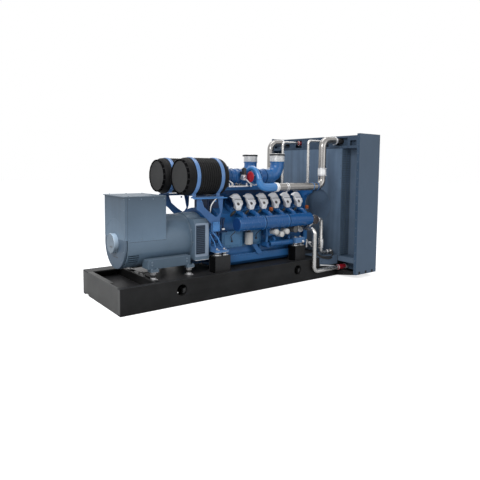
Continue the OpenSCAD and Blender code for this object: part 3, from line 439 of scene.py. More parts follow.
FILTER_X, RIB_PITCH = -1305, 38.5


def filter_profile():
    """Distance from the filter's front and radius, with a rim, a bead, the ribbed part and the domed end."""
    line = [(30, 0), (30, 246), (36, 254.5), (38, 256), (78, 277), (86, 278.5), (112, 278.5), (115, 281), (124, 281),
            (127, 276), (208, 276)]
    for h in (214 + i * RIB_PITCH for i in range(9)):
        line += [(h, 270.5), (h + 6, 271.5), (h + 10, 279.5), (h + 22, 279.5), (h + 26, 271.5)]
    line += [(562, 276), (640, 276), (645, 281), (652, 281)]
    dome = 108
    for a in (radians(90 * k / 8) for k in range(1, 9)):
        line.append((651 + dome * sin(a), 281 - dome + dome * cos(a)))
    return line + [(759, 0)]


def ring_point(angle, r):
    return TURBO_Y + r * cos(radians(angle)), TURBO_Z + r * sin(radians(angle))


for name, side in (("near", 1), ("far", -1)):
    lathe("x", turbo(FILTER_X), filter_profile(), 72)
    # the seam of the shell
    for angle in (-48, 132):
        y, z = ring_point(angle, 273.5)
        block(FILTER_X + 212, FILTER_X + 560, y - 6, y + 6, z - 6, z + 6)
    make("filter_body_" + name, "filter_plastic", "air_filter_" + name, side=side)
    # the cover's flat face, and its black rim
    lathe("x", turbo(FILTER_X), [(10, 0), (10, 232), (30, 234)], 72)
    make("filter_face_" + name, "filter_plastic", side=side, finish="filter_face")
    lathe("x", turbo(FILTER_X), [(31, 230), (8, 231), (2, 235), (0, 241), (1, 249), (6, 254.5), (33, 254.5)], 72)
    make("filter_rim_" + name, "black_rubber", side=side, finish="void")
    # the rim's paler clips, and rows of lugs between the ribs, paler as painted highlights
    for i in range(18):
        lathe("x", (FILTER_X + 1, *ring_point(20 * i + 7, 250)), [(0, 0), (0, 4.5), (30, 5.5)], 8)
    for angle in (62, 75, 88, 101):
        lathe("x", ([FILTER_X + 220 + i * RIB_PITCH for i in range(9)], *ring_point(angle, 276.5)),
              [(0, 2), (3, 4.5), (16, 4.5), (19, 2)], 8)
    make("filter_lugs_" + name, "filter_plastic", side=side, finish="filter_lug")

for x in (-1160, -736):
    # the strap: a band over the shell with rolled edges, and its legs down to the rail
    ring("x", turbo(x + 30), 283.5, 5.2, 60, 72)
    block(x, x + 60, -506, -494, 1490, 1562)
    bolt("y", (x + 30, -507, (1520, 1548)), 9, -1)
    y, z = ring_point(-60, 290)
    block(x + 4, x + 56, y - 16, y + 4, z - 20, z + 14)
pair("filter_bands", "strap_paint", "filter_straps", bevel=2)

# ------------------------ turbochargers and their ducts

lathe("x", turbo(-546), [(0, 0), (0, 118), (20, 124), (50, 124), (58, 112), (120, 110), (126, 119), (146, 119),
                         (152, 110), (205, 110), (212, 121), (232, 121), (238, 108), (300, 102), (318, 102),
                         (324, 116), (350, 116), (356, 100), (372, 100), (392, 118), (420, 127.5), (452, 127.5),
                         (480, 116), (500, 94), (540, 92), (548, 108), (566, 108), (574, 96), (596, 104), (624, 124),
                         (652, 127.5), (676, 116), (690, 90), (702, 90), (706, 128), (722, 128), (728, 112),
                         (760, 118), (800, 128), (830, 124), (838, 112), (842, 129.5), (861, 129.5), (861, 0)], 48)
# saddle on the vee cover, scroll outlet, actuator's stem and its arm
prism("x", [(-420, 1625), (-205, 1625), (-205, 1650), (-300, 1680), (-318, 1731), (-404, 1731), (-420, 1680)], 24, 144)
hose([(-90, -380, 1800), (-90, -405, 1850), (-88, -430, 1884)], 6, [50, 40], 20)
lathe("x", (-126, -600, TURBO_Z), [(0, 22), (50, 22), (51, 0)], 20)
prism("x", [(-600, 1776), (-470, 1770), (-470, 1832), (-600, 1826)], -120, -80)
# small block at the filter's outlet
block(-560, -490, -470, -400, 1890, 1960, 8)
pair("turbo_bodies", "engine_paint", "turbochargers", bevel=1.5)

# flange bolts round the turbine
bolt_circle(turbo((172, 311)), 119, 10, 10, 7, -1)
bolt_circle(turbo(-218), 108, 8, 20, 6, -1)
pair("turbo_bolts", "zinc_plate")

# actuator: black box, silver housing with a black hole, and silver levers underneath
block(-264, -210, -562, -508, 1829, 1930, 6)
block(-256, -222, -552, -518, 1930, 1942, 4)
block(-250, -224, -520, -440, 1850, 1880)
pair("actuator_boxes", "black_paint", bevel=3)
block(-272, -210, -562, -500, 1745, 1829, 10)
block(-255, -225, -520, -450, 1765, 1800)
ring("y", (-246, -566, 1790), 20, 7, 14)
block(-520, -130, -520, -470, 1640, 1660, 4)
hose([(-215, -560, 1760), (-160, -590, 1700), (-60, -570, 1668), (30, -540, 1680), (70, -500, 1715)], 6, 11, 10)
hose([(-500, -480, 1735), (-455, -520, 1700), (-440, -520, 1655)], 6, 13, 10)
for x, y in ((-500, -500), (-455, -505), (-160, -505), (-100, -540)):
    lathe("z", (x, y, 1640), [(0, 12), (4, 21), (30, 21), (34, 12), (62, 10)], 12)
pair("actuator_silver", "zinc_plate", bevel=2)
lathe("y", (-246, -565.5, 1790), [(0, 0), (0, 17), (10, 17), (10, 0)], 20)
pair("actuator_port", "black_rubber")
# red actuator disc with a domed face, and the coolant pipes' couplings
lathe("x", (-175, -600, TURBO_Z), [(0, 0), (1, 28), (4, 62), (8, 78), (11, 84), (17, 84), (19, 79), (26, 70), (26, 0)],
      40)
lathe("x", (1784, COOLANT_Y, PORT_Z), [(0, 26), (0, 34), (6, 36.5), (60, 35.5), (81, 37), (102, 35.5), (155, 36.5),
                                       (161, 34), (161, 26)], 28)
pair("red_hoses", "red_silicone", "red_couplings")
lathe("x", (1755, -763, 160), [(0, 34), (0, 43), (6, 45.5), (70, 44.5), (100, 46), (130, 44.5), (195, 45.5), (201, 43),
                               (201, 34)], 32)
make("lower_hose", "red_silicone")

# ------------------------ exhaust outlets and charge elbows

ring("x", turbo(325), 120, 8, 20)
ring("z", (605, TURBO_Y, 2040), 118, 7, 18)
ring("x", turbo(398), 116.5, 5, 26)
pair("exhaust_flanges", "engine_paint")

folds = [(0, 124), (8, 126)]
for h in (12 + i * 17.5 for i in range(5)):
    folds += [(h, 112), (h + 4, 124.5), (h + 10, 126), (h + 14.5, 124.5)]
folds += [(101, 112), (103, 120), (106, 128), (130, 128), (134, 124), (134, 100), (0, 100)]
wheel("z", (605, TURBO_Y, 2050), folds, 56)
pair("exhaust_folds", "bellows_steel", "exhaust_bellows")
ring("z", (605, TURBO_Y, 2166), 128.5, 3, 28)
block(520, 560, TURBO_Y - 133, TURBO_Y - 100, 2150, 2180, 4)
pair("exhaust_collars", "black_paint", bevel=2)

hose([(-88, -425, 1875), (-85, -470, 1918), (-76, -540, 1937), (-64, -612, 1900), (-57, -664, 1825), (-52, -685, 1752),
      (-30, -687, 1690), (24, -687, 1648), (100, -687, 1634), (190, -687, 1632), (286, -687, 1632)], 5,
     [36, 37, 39, 42, 46, 54, 62, 66, 67, 66], 32)
pair("charge_arches", "elbow_paint", "charge_elbows")
ring("z", (-53, -685, 1758), 50, 4, 10, 36)
pair("arch_joints", "engine_paint")

# ------------------------ pipes: sleeves, rings and clamps

# polished skins round the charge pipes, with their two bends
BEND, END_X = 130, CHARGE_X1 - 12
quarter = [(BEND * sin(a), BEND - BEND * cos(a)) for a in (radians(10 * i) for i in range(10))]
tube([(300, PIPE_Y, PIPE_Z)]
     + [(RISER_X - BEND + u, PIPE_Y, PIPE_Z + v) for u, v in quarter]
     + [(RISER_X + v, PIPE_Y, PORT_Z - BEND + u) for u, v in quarter]
     + [(CHARGE_X1 - 4, PIPE_Y, PORT_Z)], 65, 40)
pair("charge_skins", "pipe_steel", finish="charge_steel")
lathe("z", (RISER_X, PIPE_Y, 1832), [(0, 64), (0, 70), (4, 73.5), (96, 73.5), (100, 70), (100, 64)], 36)
ring("x", pipe(292), 67, 9, 30)
ring("x", pipe(324), 66, 8, 24)
pair("charge_sleeves", "bellows_steel")
for z in (1822, 1942):
    ring("z", (RISER_X, PIPE_Y, z), 67.5, 6, 18)
    block(RISER_X - 20, RISER_X + 20, PIPE_Y - 87, PIPE_Y - 64, z - 9, z + 9)
ring("x", pipe((510, 545)), 66.5, 4.5, 14)
block(516, 538, PIPE_Y - 12, PIPE_Y + 12, PIPE_Z - 90, PIPE_Z - 64)
ring("x", (END_X, PIPE_Y, PORT_Z), 67, 8, 24)
bolt("z", (END_X, PIPE_Y, PORT_Z + 74), 12)
ring("x", ((1720, 1985), PIPE_Y, PORT_Z), 50, 4, 14)
ring("x", ((1795, 1934), COOLANT_Y, PORT_Z), 38, 4, 12)
pair("pipe_clamps", "zinc_plate")

# clamp plates that hold the charge pipes on the front plate's ears
ring("x", pipe(1236), 67.5, 4, 18)
prism("x", [(-633, 1600), (-500, 1570), (-500, 1680), (-633, 1664)], 1229, 1243)
bolt("x", (1229, -560, (1600, 1650)), 10, -1)
pair("pipe_brackets", "engine_paint", bevel=2)
ring("x", pipe(1130), 66.2, 2.2, 16)
pair("pipe_bands", "elbow_paint")

# ------------------------ rocker covers, with their grooves, ridges and plug wells

# half lengths along the engine and the faces across it, over shares of the cover's height
LEFT = [(0, -40), (0.24, -42), (0.49, -62), (0.64, -62), (0.74, -70), (0.78, -105), (0.87, -80), (1, -45)]
RIGHT = [(0, 34), (0.13, 54), (0.31, 66), (0.44, 92), (0.54, 102), (0.63, 94), (0.71, 104), (0.85, 88), (1, 50)]
OUTER = [(0, -138), (0.05, -160), (0.15, -150), (0.49, -105), (0.64, -42), (0.77, 4), (1, 32)]
INNER = [(0, -52), (0.2, -40), (0.45, 0), (0.72, 58), (0.97, 60), (1, 60)]
LEVELS = sorted({share for table in (LEFT, RIGHT, OUTER, INNER) for share, _ in table} | {0.35, 0.57, 0.92})


def on_cover(x, a, share, out):
    """A point of a cover's outer face: a along the engine, share of the cover's height, out from the face."""
    slope = lerp(OUTER, min(1, share + 0.05)) - lerp(OUTER, max(0, share - 0.05))
    normal = Vector((-0.1 * COVER, slope)).normalized()
    return bank(x + a, lerp(OUTER, share) + normal.x * out, HEAD_TOP + COVER * share + normal.y * out)


for x in CYLINDERS:
    loops = []
    for share in LEVELS:
        left, right, outer, inner = (lerp(t, share) for t in (LEFT, RIGHT, OUTER, INNER))
        h, c = HEAD_TOP + COVER * share, 12
        d = min(c, (inner - outer) / 3)
        corners = [(left + c, outer), (right - c, outer), (right, outer + d), (right, inner - d), (right - c, inner),
                   (left + c, inner), (left, inner - d), (left, outer + d)]
        loops.append(loop_of([bank(x + a, t, h) for a, t in corners]))
    stack(loops)
pair("rocker_cover_castings", "cast_aluminium", "rocker_covers", bevel=4, angle=24)

for x in CYLINDERS:
    hose([on_cover(x, a, s, 0) for a, s in ((12, 0.62), (32, 0.57), (36, 0.48), (18, 0.37), (-10, 0.27), (-30, 0.18))],
         4, [8, 11, 11, 6], 10)
    for a, share in ((-85, 0.8), (85, 0.6)):
        tube([on_cover(x, a, share, -2), on_cover(x, a, share, 10)], 12, 6)
pair("rocker_cover_ridges", "bellows_steel")

for x in CYLINDERS:
    tube([on_cover(x, -6, 0.5, -12), on_cover(x, -6, 0.5, 4.5)], [22, 23], 16)
pair("rocker_cover_wells", "dark_cap")

# a groove across each cover, as a half-sunk tube in dark grey: painted shade in the groove
for x in CYLINDERS:
    tube([on_cover(x, a, 0.685, -1.5) for a in (-45, 0, 45, 85)], 6.5, 8)
pair("rocker_cover_grooves", "cast_aluminium", finish="groove_shade")

# hoses and sensors between the heads
for x in CYLINDERS:
    hose([bank(x - 55, -140, 540), bank(x - 85, -160, 530), bank(x - 105, -162, 500), bank(x - 120, -145, 460)], 4, 20,
         12)
pair("head_hoses", "black_rubber")

for x in (435, 1285):
    block(x - 22, x + 22, -440, -400, 1225, 1285, 6)
    lathe("y", (x, -440, 1255), [(-16, 0), (-16, 13), (0, 16)], 12)
make("head_sensors", "red_silicone", finish="orange_cap")

# head bolts and the heads' side covers
for x in CYLINDERS:
    for a, t in product((-95, 95), (-100, 115)):
        tube([bank(x + a, t, 558), bank(x + a, t, 580)], 14, 6)
    corners = ((-60, 505), (60, 505), (60, 552), (-60, 552))
    low, high = (loop_of([bank(x + a, t, h) for a, h in corners]) for t in (-140, -148))
    join(low, high)
    shape.faces.new(high)
pair("head_details", "engine_paint", bevel=2)

# ------------------------ manifolds with their runners

MAN_X, MAN_Y, MAN_Z, MAN_R = -385, -550, 1057, 112
JOINTS = (139, 667)
profile = [(4, 0), (4, 100), (6, 106), (12, MAN_R)]
for h in (joint - MAN_X for joint in JOINTS):
    profile += [(h - 34, MAN_R), (h - 30, 118.5), (h - 14, 119.5), (h - 13, 106), (h + 13, 106), (h + 14, 119.5),
                (h + 24, 118.5), (h + 28, MAN_R)]
profile += [(1598, MAN_R), (1606, 106), (1610, 98), (1610, 0)]
lathe("x", (MAN_X, MAN_Y, MAN_Z), profile, 56)
for x in CYLINDERS:
    hose([(x + 2, -372, 1228), (x + 8, -425, 1222), (x + 16, -480, 1204), (x + 24, -525, 1170), (x + 30, -548, 1125),
          (x + 34, -556, 1085)], 5, [38, 36, 37, 42, 56, 70], 24)
    # the flange on the head
    tube([bank(x, -139, 522), bank(x, -150, 522)], 50, 20)
pair("manifold_castings", "engine_paint", "manifolds", finish="manifold_paint")
# dark rings at the manifold's joints, and its end cap in a darker navy: painted shade on the cap's face
ring("x", (JOINTS, MAN_Y, MAN_Z), 109, 4.5, 24, 56)
lathe("x", (MAN_X, MAN_Y, MAN_Z), [(0, 0), (0, 98), (5, 102)], 56)
pair("manifold_joints", "engine_paint", finish="cap_navy")
for x in CYLINDERS:
    for a in (-46, 46):
        tube([bank(x + a, -150, 528), bank(x + a, -163, 528)], 9, 6)
bolt_circle(([joint - 20 for joint in JOINTS], MAN_Y, MAN_Z), 111.5, 8, 10, 5.5, -1)
pair("manifold_bolts", "engine_paint")

# ------------------------ crankcase side: doors, canister, filters, pipes

for x0, x1, y in ((-556, -151, -400), (-137, 260, -370)):
    first, last = x0 + 22, x1 - 22
    bolt("y", ([first + (last - first) * i / 5 for i in range(6)], y, (694, 908)), 8, -1)
    bolt("y", ((first, last), y, (765, 837)), 8, -1)
    block(x0 + 45, x1 - 45, y - 6, y + 2, 716, 886, 12)
pair("door_bolts", "engine_paint", bevel=1.5, finish="door_paint")

lathe("z", (-52, -442, 698), [(0, 0), (0, 46), (6, 60), (20, 66.5), (186, 67), (200, 62), (208, 46), (208, 0)], 36)
ring("z", (-52, -442, (716, 884)), 66, 2, 6, 36)
make("canister_body", "canister_paint", "breather_canister")
lathe("z", (-57, -442, 905), [(0, 30), (18, 30), (24, 22), (24, 0)], 20)
lathe("z", (-57, -442, 690), [(0, 20), (0, 28), (10, 34)], 20)
# leads down to the doors, with their sensors
for (sx, sy, sz), (ex, ey, ez) in (((-424, -560, 950), (-372, -412, 773)), ((106, -560, 950), (150, -384, 778))):
    hose([(sx + 30, sy + 30, sz + 4), (sx, sy + 20, sz - 20), (sx - 22, (sy + ey) / 2, sz - 80),
          (ex - 20, ey - 20, ez + 50), (ex, ey - 8, ez)], 4, 5.5, 8)
    lathe("y", (ex, ey + 12, ez), [(-22, 0), (-22, 12), (-6, 15), (0, 15)], 12)
make("sensor_conduits", "black_rubber")

for x, z in ((387, 890), (504, 844), (625, 882)):
    lathe("y", (x, -500, z), [(-150, 0), (-150, 26), (-146, 38), (-138, 45.5), (-124, 48), (-14, 48), (-10, 45.5),
                              (0, 45.5)], 32)
    ring("y", (x, -520, z), 47.8, 1.6, 6, 32)
make("oil_filter_cans", "canister_paint", "oil_filters", finish="can_grey")
lathe("y", (950, -500, 883), [(12, 0), (12, 50), (0, 54), (1, 59), (8, 60), (170, 60)], 32)
make("rear_filter_can", "canister_paint", finish="can_dark")

# the filters' riser and its foot
tube([(306, -470, 700), (306, -470, 940)], 21, 16)
lathe("y", (311, -500, 664), [(-20, 0), (-20, 40), (-14, 47), (140, 47)], 24)
# cooler: ends, bands, and its pipes into the crankcase
lathe("x", ((333, 838), -500, 680), [(0, 0), (0, 40), (3, 52), (12, 52), (15, 49)], 28)
ring("x", ((440, 580, 720), -500, 680), 49, 3, 16, 32)
hose([(450, -500, 727), (450, -495, 770), (450, -440, 800), (450, -340, 805)], 4, 22, 14)
hose([(790, -500, 727), (795, -480, 765), (830, -430, 790), (860, -340, 800)], 4, 22, 14)
# diagonal plate between the sump and the crankcase
prism("y", [(30, 690), (110, 690), (235, 560), (235, 520), (150, 520)], -432, -412)
# vertical pipe behind the filters
tube([(262, -350, 560), (262, -350, 965)], 14, 12)
# joint face of the sump and its bolts
block(-625, 1215, -408, -395, 528, 542)
bolt("z", ([-600 + 62 * i for i in range(30)], -398.5, 542), 7)
make("crankcase_fittings", "engine_paint", bevel=1.5)

# valve and fittings beside the front mount, and a sensor at the crankcase's rear
lathe("y", (1023, -600, 676), [(-30, 0), (-28, 16), (-16, 26), (0, 28), (16, 22)], 20)
tube([(1100, -600, 700), (1150, -600, 655), (1250, -600, 560)], 11, 10)
tube([(1160, -560, 640), (1220, -610, 640)], 17, 12)
tube([(1135, -580, 560), (1135, -580, 700)], 14, 12)
lathe("y", (-575, -450, 986), [(-10, 0), (-10, 14), (50, 14)], 12)
lathe("x", (-600, -450, 986), [(0, 8), (0, 18), (50, 18), (50, 8)], 12)
make("front_valves", "zinc_plate", bevel=2)

# rear casing between the banks, over the flywheel housing, dark with painted shade
block(-700, -400, -200, 200, 1200, 1500)
block(-660, -440, -225, 225, 1240, 1420)
make("rear_casing", "engine_paint", bevel=12, finish="navy")

# ------------------------ pedestals and mounts

y0, y1, z0, z1, t = -600, -420, 345, 600, 12
for x0, x1 in ((-808, -531), (855, 1080)):
    block(x0, x1, y0, y0 + t, z0, z1)
    block(x0, x1, y1 - t, y1, z0, z1)
    block(x0, x1, y0 + t, y1 - t, z1 - t, z1)
    block(x1 - t, x1, y0 + t, y1 - t, z0, z1 - t)
    block(x0 + 60, x0 + 68, y0 + t, y1 - t, z0, z1 - t)
pair("pedestal_boxes", "skid_paint", "engine_pedestals", bevel=2)
for x0 in (-808, 855):
    block(x0 + 1, x0 + 60, -587, -433, 346, 587)
pair("pedestal_shades", "black_paint", finish="void")

MOUNTS = ([(x, -420, 345, 117) for x in (-1750, -1165)]
          + [(x, -530, 600, 55) for x in (-738, -608, 910, 1025)])
PLATE = 10
for x, y, z0, tall in MOUNTS:
    for low in (z0, z0 + tall - PLATE):
        block(x - 48, x + 48, y - 48, y + 48, low, low + PLATE, 2)
    free = tall - 2 * PLATE
    lathe("z", (x, y, z0 + PLATE), [(0, 0), (0, 41), (free * 0.25, 38), (free * 0.25, 0)], 24)
    lathe("z", (x, y, z0 + tall - PLATE - free * 0.35), [(0, 0), (0, 40), (free * 0.35, 43), (free * 0.35, 0)], 24)
    bolt("z", ((x - 36, x + 36), y - 36, z0 + PLATE), 6)
pair("mount_plates", "zinc_plate", "rubber_mounts", bevel=1.5)
for x, y, z0, tall in MOUNTS:
    free = tall - 2 * PLATE
    lathe("z", (x, y, z0 + PLATE), [(0, 36), (free * 0.3, 33), (free * 0.7, 33), (free, 36)], 24)
pair("mount_rubbers", "black_rubber")
for xs, z in (((-738, -608), 694), ((910, 1025), 745)):
    bolt("z", (xs, -530, z), 16)
    bolt("z", (xs, -580, z - 6), 8)
pair("arm_bolts", "zinc_plate")

# ------------------------ flywheel housing, brackets and arms

for x, r, w in ((-800, 446, 14), (-690, 434, 20), (-640, 438, 20)):
    ring("x", (x, 0, SHAFT_Z), r, 5, w, 72)
bolt_circle((-805, 0, SHAFT_Z), 441, 20, 4, 8)
for u, v in circle(12, 432, 12):
    tube([(x, u, SHAFT_Z + v) for x in (-795, -640)], 7, 8)
make("housing_ribs", "engine_paint")
# pipes that run down from the bracket's plate to the mount, in a lighter blue that paints their highlight
hose([(-789, -470, 972), (-752, -480, 925), (-700, -484, 868), (-667, -486, 811), (-645, -490, 755),
      (-612, -500, 700)], 5, 12, 12)
hose([(-815, -455, 930), (-790, -462, 870), (-740, -465, 790), (-735, -480, 720)], 5, 9, 12)
pair("housing_pipes", "engine_paint", finish="sheen_blue")
# fittings and pipes on the housing, dark with painted shade
for x, z, r in ((-760, 880, 30), (-705, 800, 26), (-780, 790, 22), (-655, 900, 24)):
    lathe("y", (x, -420, z), [(-30, 0), (-30, r * 0.6), (-22, r), (60, r)], 16)
hose([(-560, -395, 1160), (-600, -430, 1090), (-640, -450, 1020), (-668, -455, 960)], 5, 14, 12)
hose([(-700, -440, 960), (-650, -430, 940), (-560, -420, 944), (-470, -410, 938)], 5, 10, 12)
hose([(-520, -400, 1150), (-560, -425, 1060), (-560, -425, 1000)], 5, 17, 12)
pair("housing_fittings", "engine_paint", finish="navy")

# the forked brackets' bolted plate, their bolts, and the edge of the filters' rail, in a lighter blue that paints
# their highlight; the rail's edge is only a thin strip of it
bolt("y", ((-1020, -760), -510, 1440), 11, -1)
block(-811, -683, -524, -519, 972, 1120)
bolt("y", ((-795, -700), -524, (990, 1100)), 9, -1)
block(-1170, -560, -541.5, -539.5, 1474, 1490)
pair("bracket_fittings", "strap_paint", finish="sheen_blue")
hose([(-735, -512, 1486), (-775, -516, 1450), (-822, -514, 1395), (-838, -500, 1340), (-822, -470, 1280),
      (-800, -420, 1235)], 5, 8.5, 10)
make("bracket_pipe", "bellows_steel")

# ------------------------ alternator

# the exciter's wall and face, in lighter paints that carry painted light and highlight
lathe("x", (-2208, 0, SHAFT_Z), [(0, 0), (0, 138.5), (3, 141.5), (8, 143), (65, 143)], 48)
make("exciter_cap", "alternator_paint", "exciter_cover", finish="exciter_wall_highlight")
lathe("x", (-2210, 0, SHAFT_Z), [(0, 0), (0, 136), (2, 138.5), (4, 138.5)], 48)
make("exciter_face", "alternator_paint", finish="exciter_lit_paint")
# black strips for the slots in the exciter's face and in the end plate: painted shade inside the slots
block(-2212, -2209, -70, 10, 800, 812)
block(-2144.5, -2141.5, -110, 60, 650, 658)
make("exciter_slots", "black_paint")

# ring seam of the end plate, and the bolts below the box
ring("x", (-2143.5, 0, SHAFT_Z), 352, 1.5, 3, 72)
for u, v in circle(12, 340, 15):
    if v < 50:
        bolt("x", (-2143, u, SHAFT_Z + v), 7, -1)
# screws round the terminal box's end and side panels, and on its lid
bolt("x", (-2143, (-345, 345), (960, 1150, 1340, 1490)), 6, -1)
for side in (-1, 1):
    bolt("y", ((-2080, -1900, -1720, -1545), 370 * side, (935, 1490)), 6, side)
bolt("z", ((-2080, -1820, -1560), (-340, 340), 1531), 7)
make("alternator_screws", "alternator_paint")

# dark joints: the box's corner seam, the lid's shadow gap, the joint of box and barrel
for y in (-370.8, 369.8):
    block(-2106.5, -2104.5, y, y + 1, 925, 1518)
    block(-2140, -1520, y, y + 1, 1516, 1519)
    block(-2104.5, -1520, y, y + 1, 896, 898.5)
make("alternator_seams", "black_paint")

# raised frame round the adapter's grille, with the slats on a dark back, and the lip under it; the back and the slats
# are dark with painted shade
prism("y", [(-1076, 612), (-1062, 600), (-856, 600), (-842, 612), (-842, 1094), (-856, 1106), (-1062, 1106),
            (-1076, 1094)], -451.2, -448.5)
pair("adapter_panels", "alternator_paint", bevel=1, finish="adapter_light")
block(-1060, -912, -453.5, -451, 646, 1069)
pair("adapter_grille_backs", "alternator_paint", finish="grille_shade")
for z in (662 + i * 27.8 for i in range(15)):
    prism("x", [(-453.5, z), (-453.5, z + 17), (-455.5, z + 16), (-460, z + 2), (-459, z)], -1056, -916)
for x0, x1, z0, z1 in ((-1064, -1056, 642, 1073), (-916, -908, 642, 1073), (-1064, -908, 1067, 1073),
                       (-1064, -908, 642, 648)):
    block(x0, x1, -459, -451.5, z0, z1)
pair("adapter_grilles", "alternator_paint", finish="grille_slats")
block(-1075, -840, -462, -400, 546.5, 551)
pair("adapter_lips", "bellows_steel")

# bands and bolts on the barrel, its feet and the adapter
for x, w in ((-2098, 10), (-1090, 16)):
    ring("x", (x, 0, SHAFT_Z), 371.5, 4, w, 80)
bolt("y", ((-1780, -1220), -450, (560, 600)), 9, -1)
bolt("z", ((-1790, -1710, -1205, -1125), -463, 502), 10)
for u, v in circle(10, 1, 6):
    bolt("x", (-1080, 400 * u, SHAFT_Z + 300 * v), 10, -1)
make("alternator_bands", "alternator_paint")

# ------------------------ radiator

# cooling fins beside the shroud, and the uprights that hold them
for z in (390 + i * 42 for i in range(46)):
    block(1816, 2036, -765.5, -759, z, z + 10)
for x in (1812, 1920, 2030):
    block(x, x + 6, -766.5, -759, 380, 2290)
pair("core_fins", "radiator_paint", finish="fin_paint")

bolt("x", (RAD_X, -1115, [180 + i * 145 for i in range(17)]), 8, -1)
bolt("x", (RAD_X, -742, [420 + i * 225 for i in range(9)]), 7, -1)
bolt("x", (RAD_X, -18, (420, 2220)), 5, -1)
bolt("x", (1810, (-1010, -895, -590, -450, -250, -60), (2330, 2508)), 6, -1)
pair("radiator_bolts", "radiator_paint")

# top edge trim and the panel's folded corner
block(1802, 2363, -1145.5, -1134, 2545, 2553.5)
block(2352, 2364.5, -1145.5, -1130, 80, 2545)
pair("radiator_trims", "radiator_paint", finish="trim_dark")

# throats of the ports in the header's openings, and plain sheets behind them, in the header's darker paint, as painted
# shade of the recesses
for y, r in ((PIPE_Y, 66), (COOLANT_Y, 36)):
    lathe("x", (1968, y, PORT_Z), [(32, r + 16), (16, r + 16), (14, r), (0, r - 3)], 28)
pair("header_ports", "radiator_paint")
for y0, y1 in ((-905, -640), (-1070, -915)):
    block(1876, 1880, y0, y1, 2360, 2510)
pair("header_backs", "radiator_paint", finish="header_paint")

# the fan's opening: its lip, and a plain back in the shade
FAN_Y, FAN_Z, FAN_R = -205, 1255, 309
ring("x", (RAD_X + 4, FAN_Y, FAN_Z), FAN_R, 4, 10, 72)
make("fan_lip", "radiator_paint")
lathe("x", (RAD_X + 62, FAN_Y, FAN_Z), [(0, 0), (0, FAN_R), (7, FAN_R)], 64)
make("fan_back", "radiator_paint", finish="fan_dark")
# the bolts of the frame at the back
bolt("x", (2357, -1112, [300 + i * 190 for i in range(12)]), 6)
bolt("x", (2354.5, (-900, -600, -300, 0, 300, 600, 900), (400, 2490)), 7)
make("rear_bolts", "radiator_paint")

# ------------------------ pipes at the engine's front

# clamps of the bypass, the lower pipe and the auxiliary pump, and the bypass pipe's sleeve
ring("z", (1535, -550, (508, 667)), 43, 4, 14, 28)
ring("x", (1700, -550, 415), 34, 6, 20, 28)
ring("x", (1790, -550, 415), 34, 10, 16, 28)
ring("x", ((1765, 1945), -763, 160), 47, 3, 14, 28)
ring("x", (1444, -550, 1032), 40, 6, 18, 28)
make("front_clamps", "zinc_plate")
lathe("z", (1535, -550, 505), [(0, 32), (0, 40), (4, 42.5), (161, 42.5), (165, 40), (165, 32)], 28)
make("bypass_sleeve", "bellows_steel")

# auxiliary pump: dark cap and body, its rings and bolts, its hose down to the engine
PUMP_X, PUMP_Z = 1349, 1032
lathe("y", (PUMP_X, -600, PUMP_Z), [(0, 0), (0, 58), (4, 70), (12, 78), (22, 80), (60, 80), (66, 74), (120, 74),
                                    (128, 80), (200, 80)], 40)
tube([(PUMP_X, -550, PUMP_Z), (1433, -550, PUMP_Z)], [40, 37], 20)
lathe("y", (PUMP_X, -604, PUMP_Z), [(0, 0), (0, 20), (6, 24)], 20)
make("auxiliary_pump_body", "dark_cap", "auxiliary_pump")
ring("y", (PUMP_X, -548, PUMP_Z), 78, 6, 12)
for u, v in circle(6, 66, 15):
    bolt("y", (PUMP_X + u, -590, PUMP_Z + v), 6, -1)
hose([(1300, -540, 975), (1265, -520, 930), (1262, -480, 890), (1260, -420, 885)], 4, 26, 14)
lathe("y", (1145, -432, 890), [(-4, 0), (-4, 50), (8, 56), (12, 84)], 28)
make("pump_rings", "zinc_plate")

# two hoses at the radiator's foot; k sets the second off from the first
for k in (0, 30):
    hose([(1215 + k, -640, 560), (1232 + k, -715, 470), (1280 + k, -735, 414), (1371 + k, -738, 374 + k * 0.3),
          (1483, -738, 345 + k), (1605, -730, 335 + k), (1700, -690, 360 + k), (1780, -600, 410 + k)], 5, 11, 10)
make("front_conduits", "black_rubber")

# the radiator's tray with its turned-down lip, and a drain line under it
block(1330, 1799, -719, -300, 365.5, 368.5)
block(1330, 1799, -721.5, -716, 215, 368.5)
bolt("y", ((1380, 1560, 1740), -721.5, 300), 8, -1)
make("radiator_tray", "radiator_paint", bevel=1.5)
hose([(1345, -722, 240), (1360, -738, 238), (1520, -742, 214), (1700, -745, 184), (1760, -748, 172)], 5, 12, 12)
make("drain_line", "bellows_steel")

# the grooves and bolts of the two pulleys at the front
for centre, r, bolts_r, segments in ((SHAFT_Z, 189.5, 120, 48), (1180, 119.5, 70, 40)):
    ring("x", ((1343, 1359, 1375, 1391), 0, centre), r, 1.2, 6, segments)
    bolt_circle((1415, 0, centre), bolts_r, 6, 0, 10)
make("pulley_details", "black_paint")

# ------------------------ skid

# lifting lugs seen in the tubes
for x in (-1450, 805):
    prism("y", [(x + 30, 160), (x + 76, 190), (x + 79, 240), (x + 30, 230)], -690, -600)
pair("lift_lugs", "black_paint")
# plates on the deck with their screws, lighter than the skid as painted light on their tops, and a handle
block(-1835, -1790, -250, -20, 366, 374, 2)
block(-1715, -1500, 60, 420, 346, 352, 2)
block(-1780, -1730, -100, 180, 346, 356, 2)
bolt("z", ((-1680, -1530), (90, 390), 352), 8)
make("deck_plates", "skid_paint", finish="deck_lit_paint")
hose([(-1800, -200, 366), (-1800, -200, 395), (-1800, -180, 402), (-1800, -80, 402), (-1800, -60, 395),
      (-1800, -60, 366)], 4, 7, 8)
make("deck_handle", "black_paint")

# weld beads at the outriggers
for x in (1812, 1888, 2277, 2353):
    tube([(x, -716, 6), (x, -716, 104)], 3.5, 6)
pair("skid_welds", "skid_paint")


# ------------------------ camera, floor and light

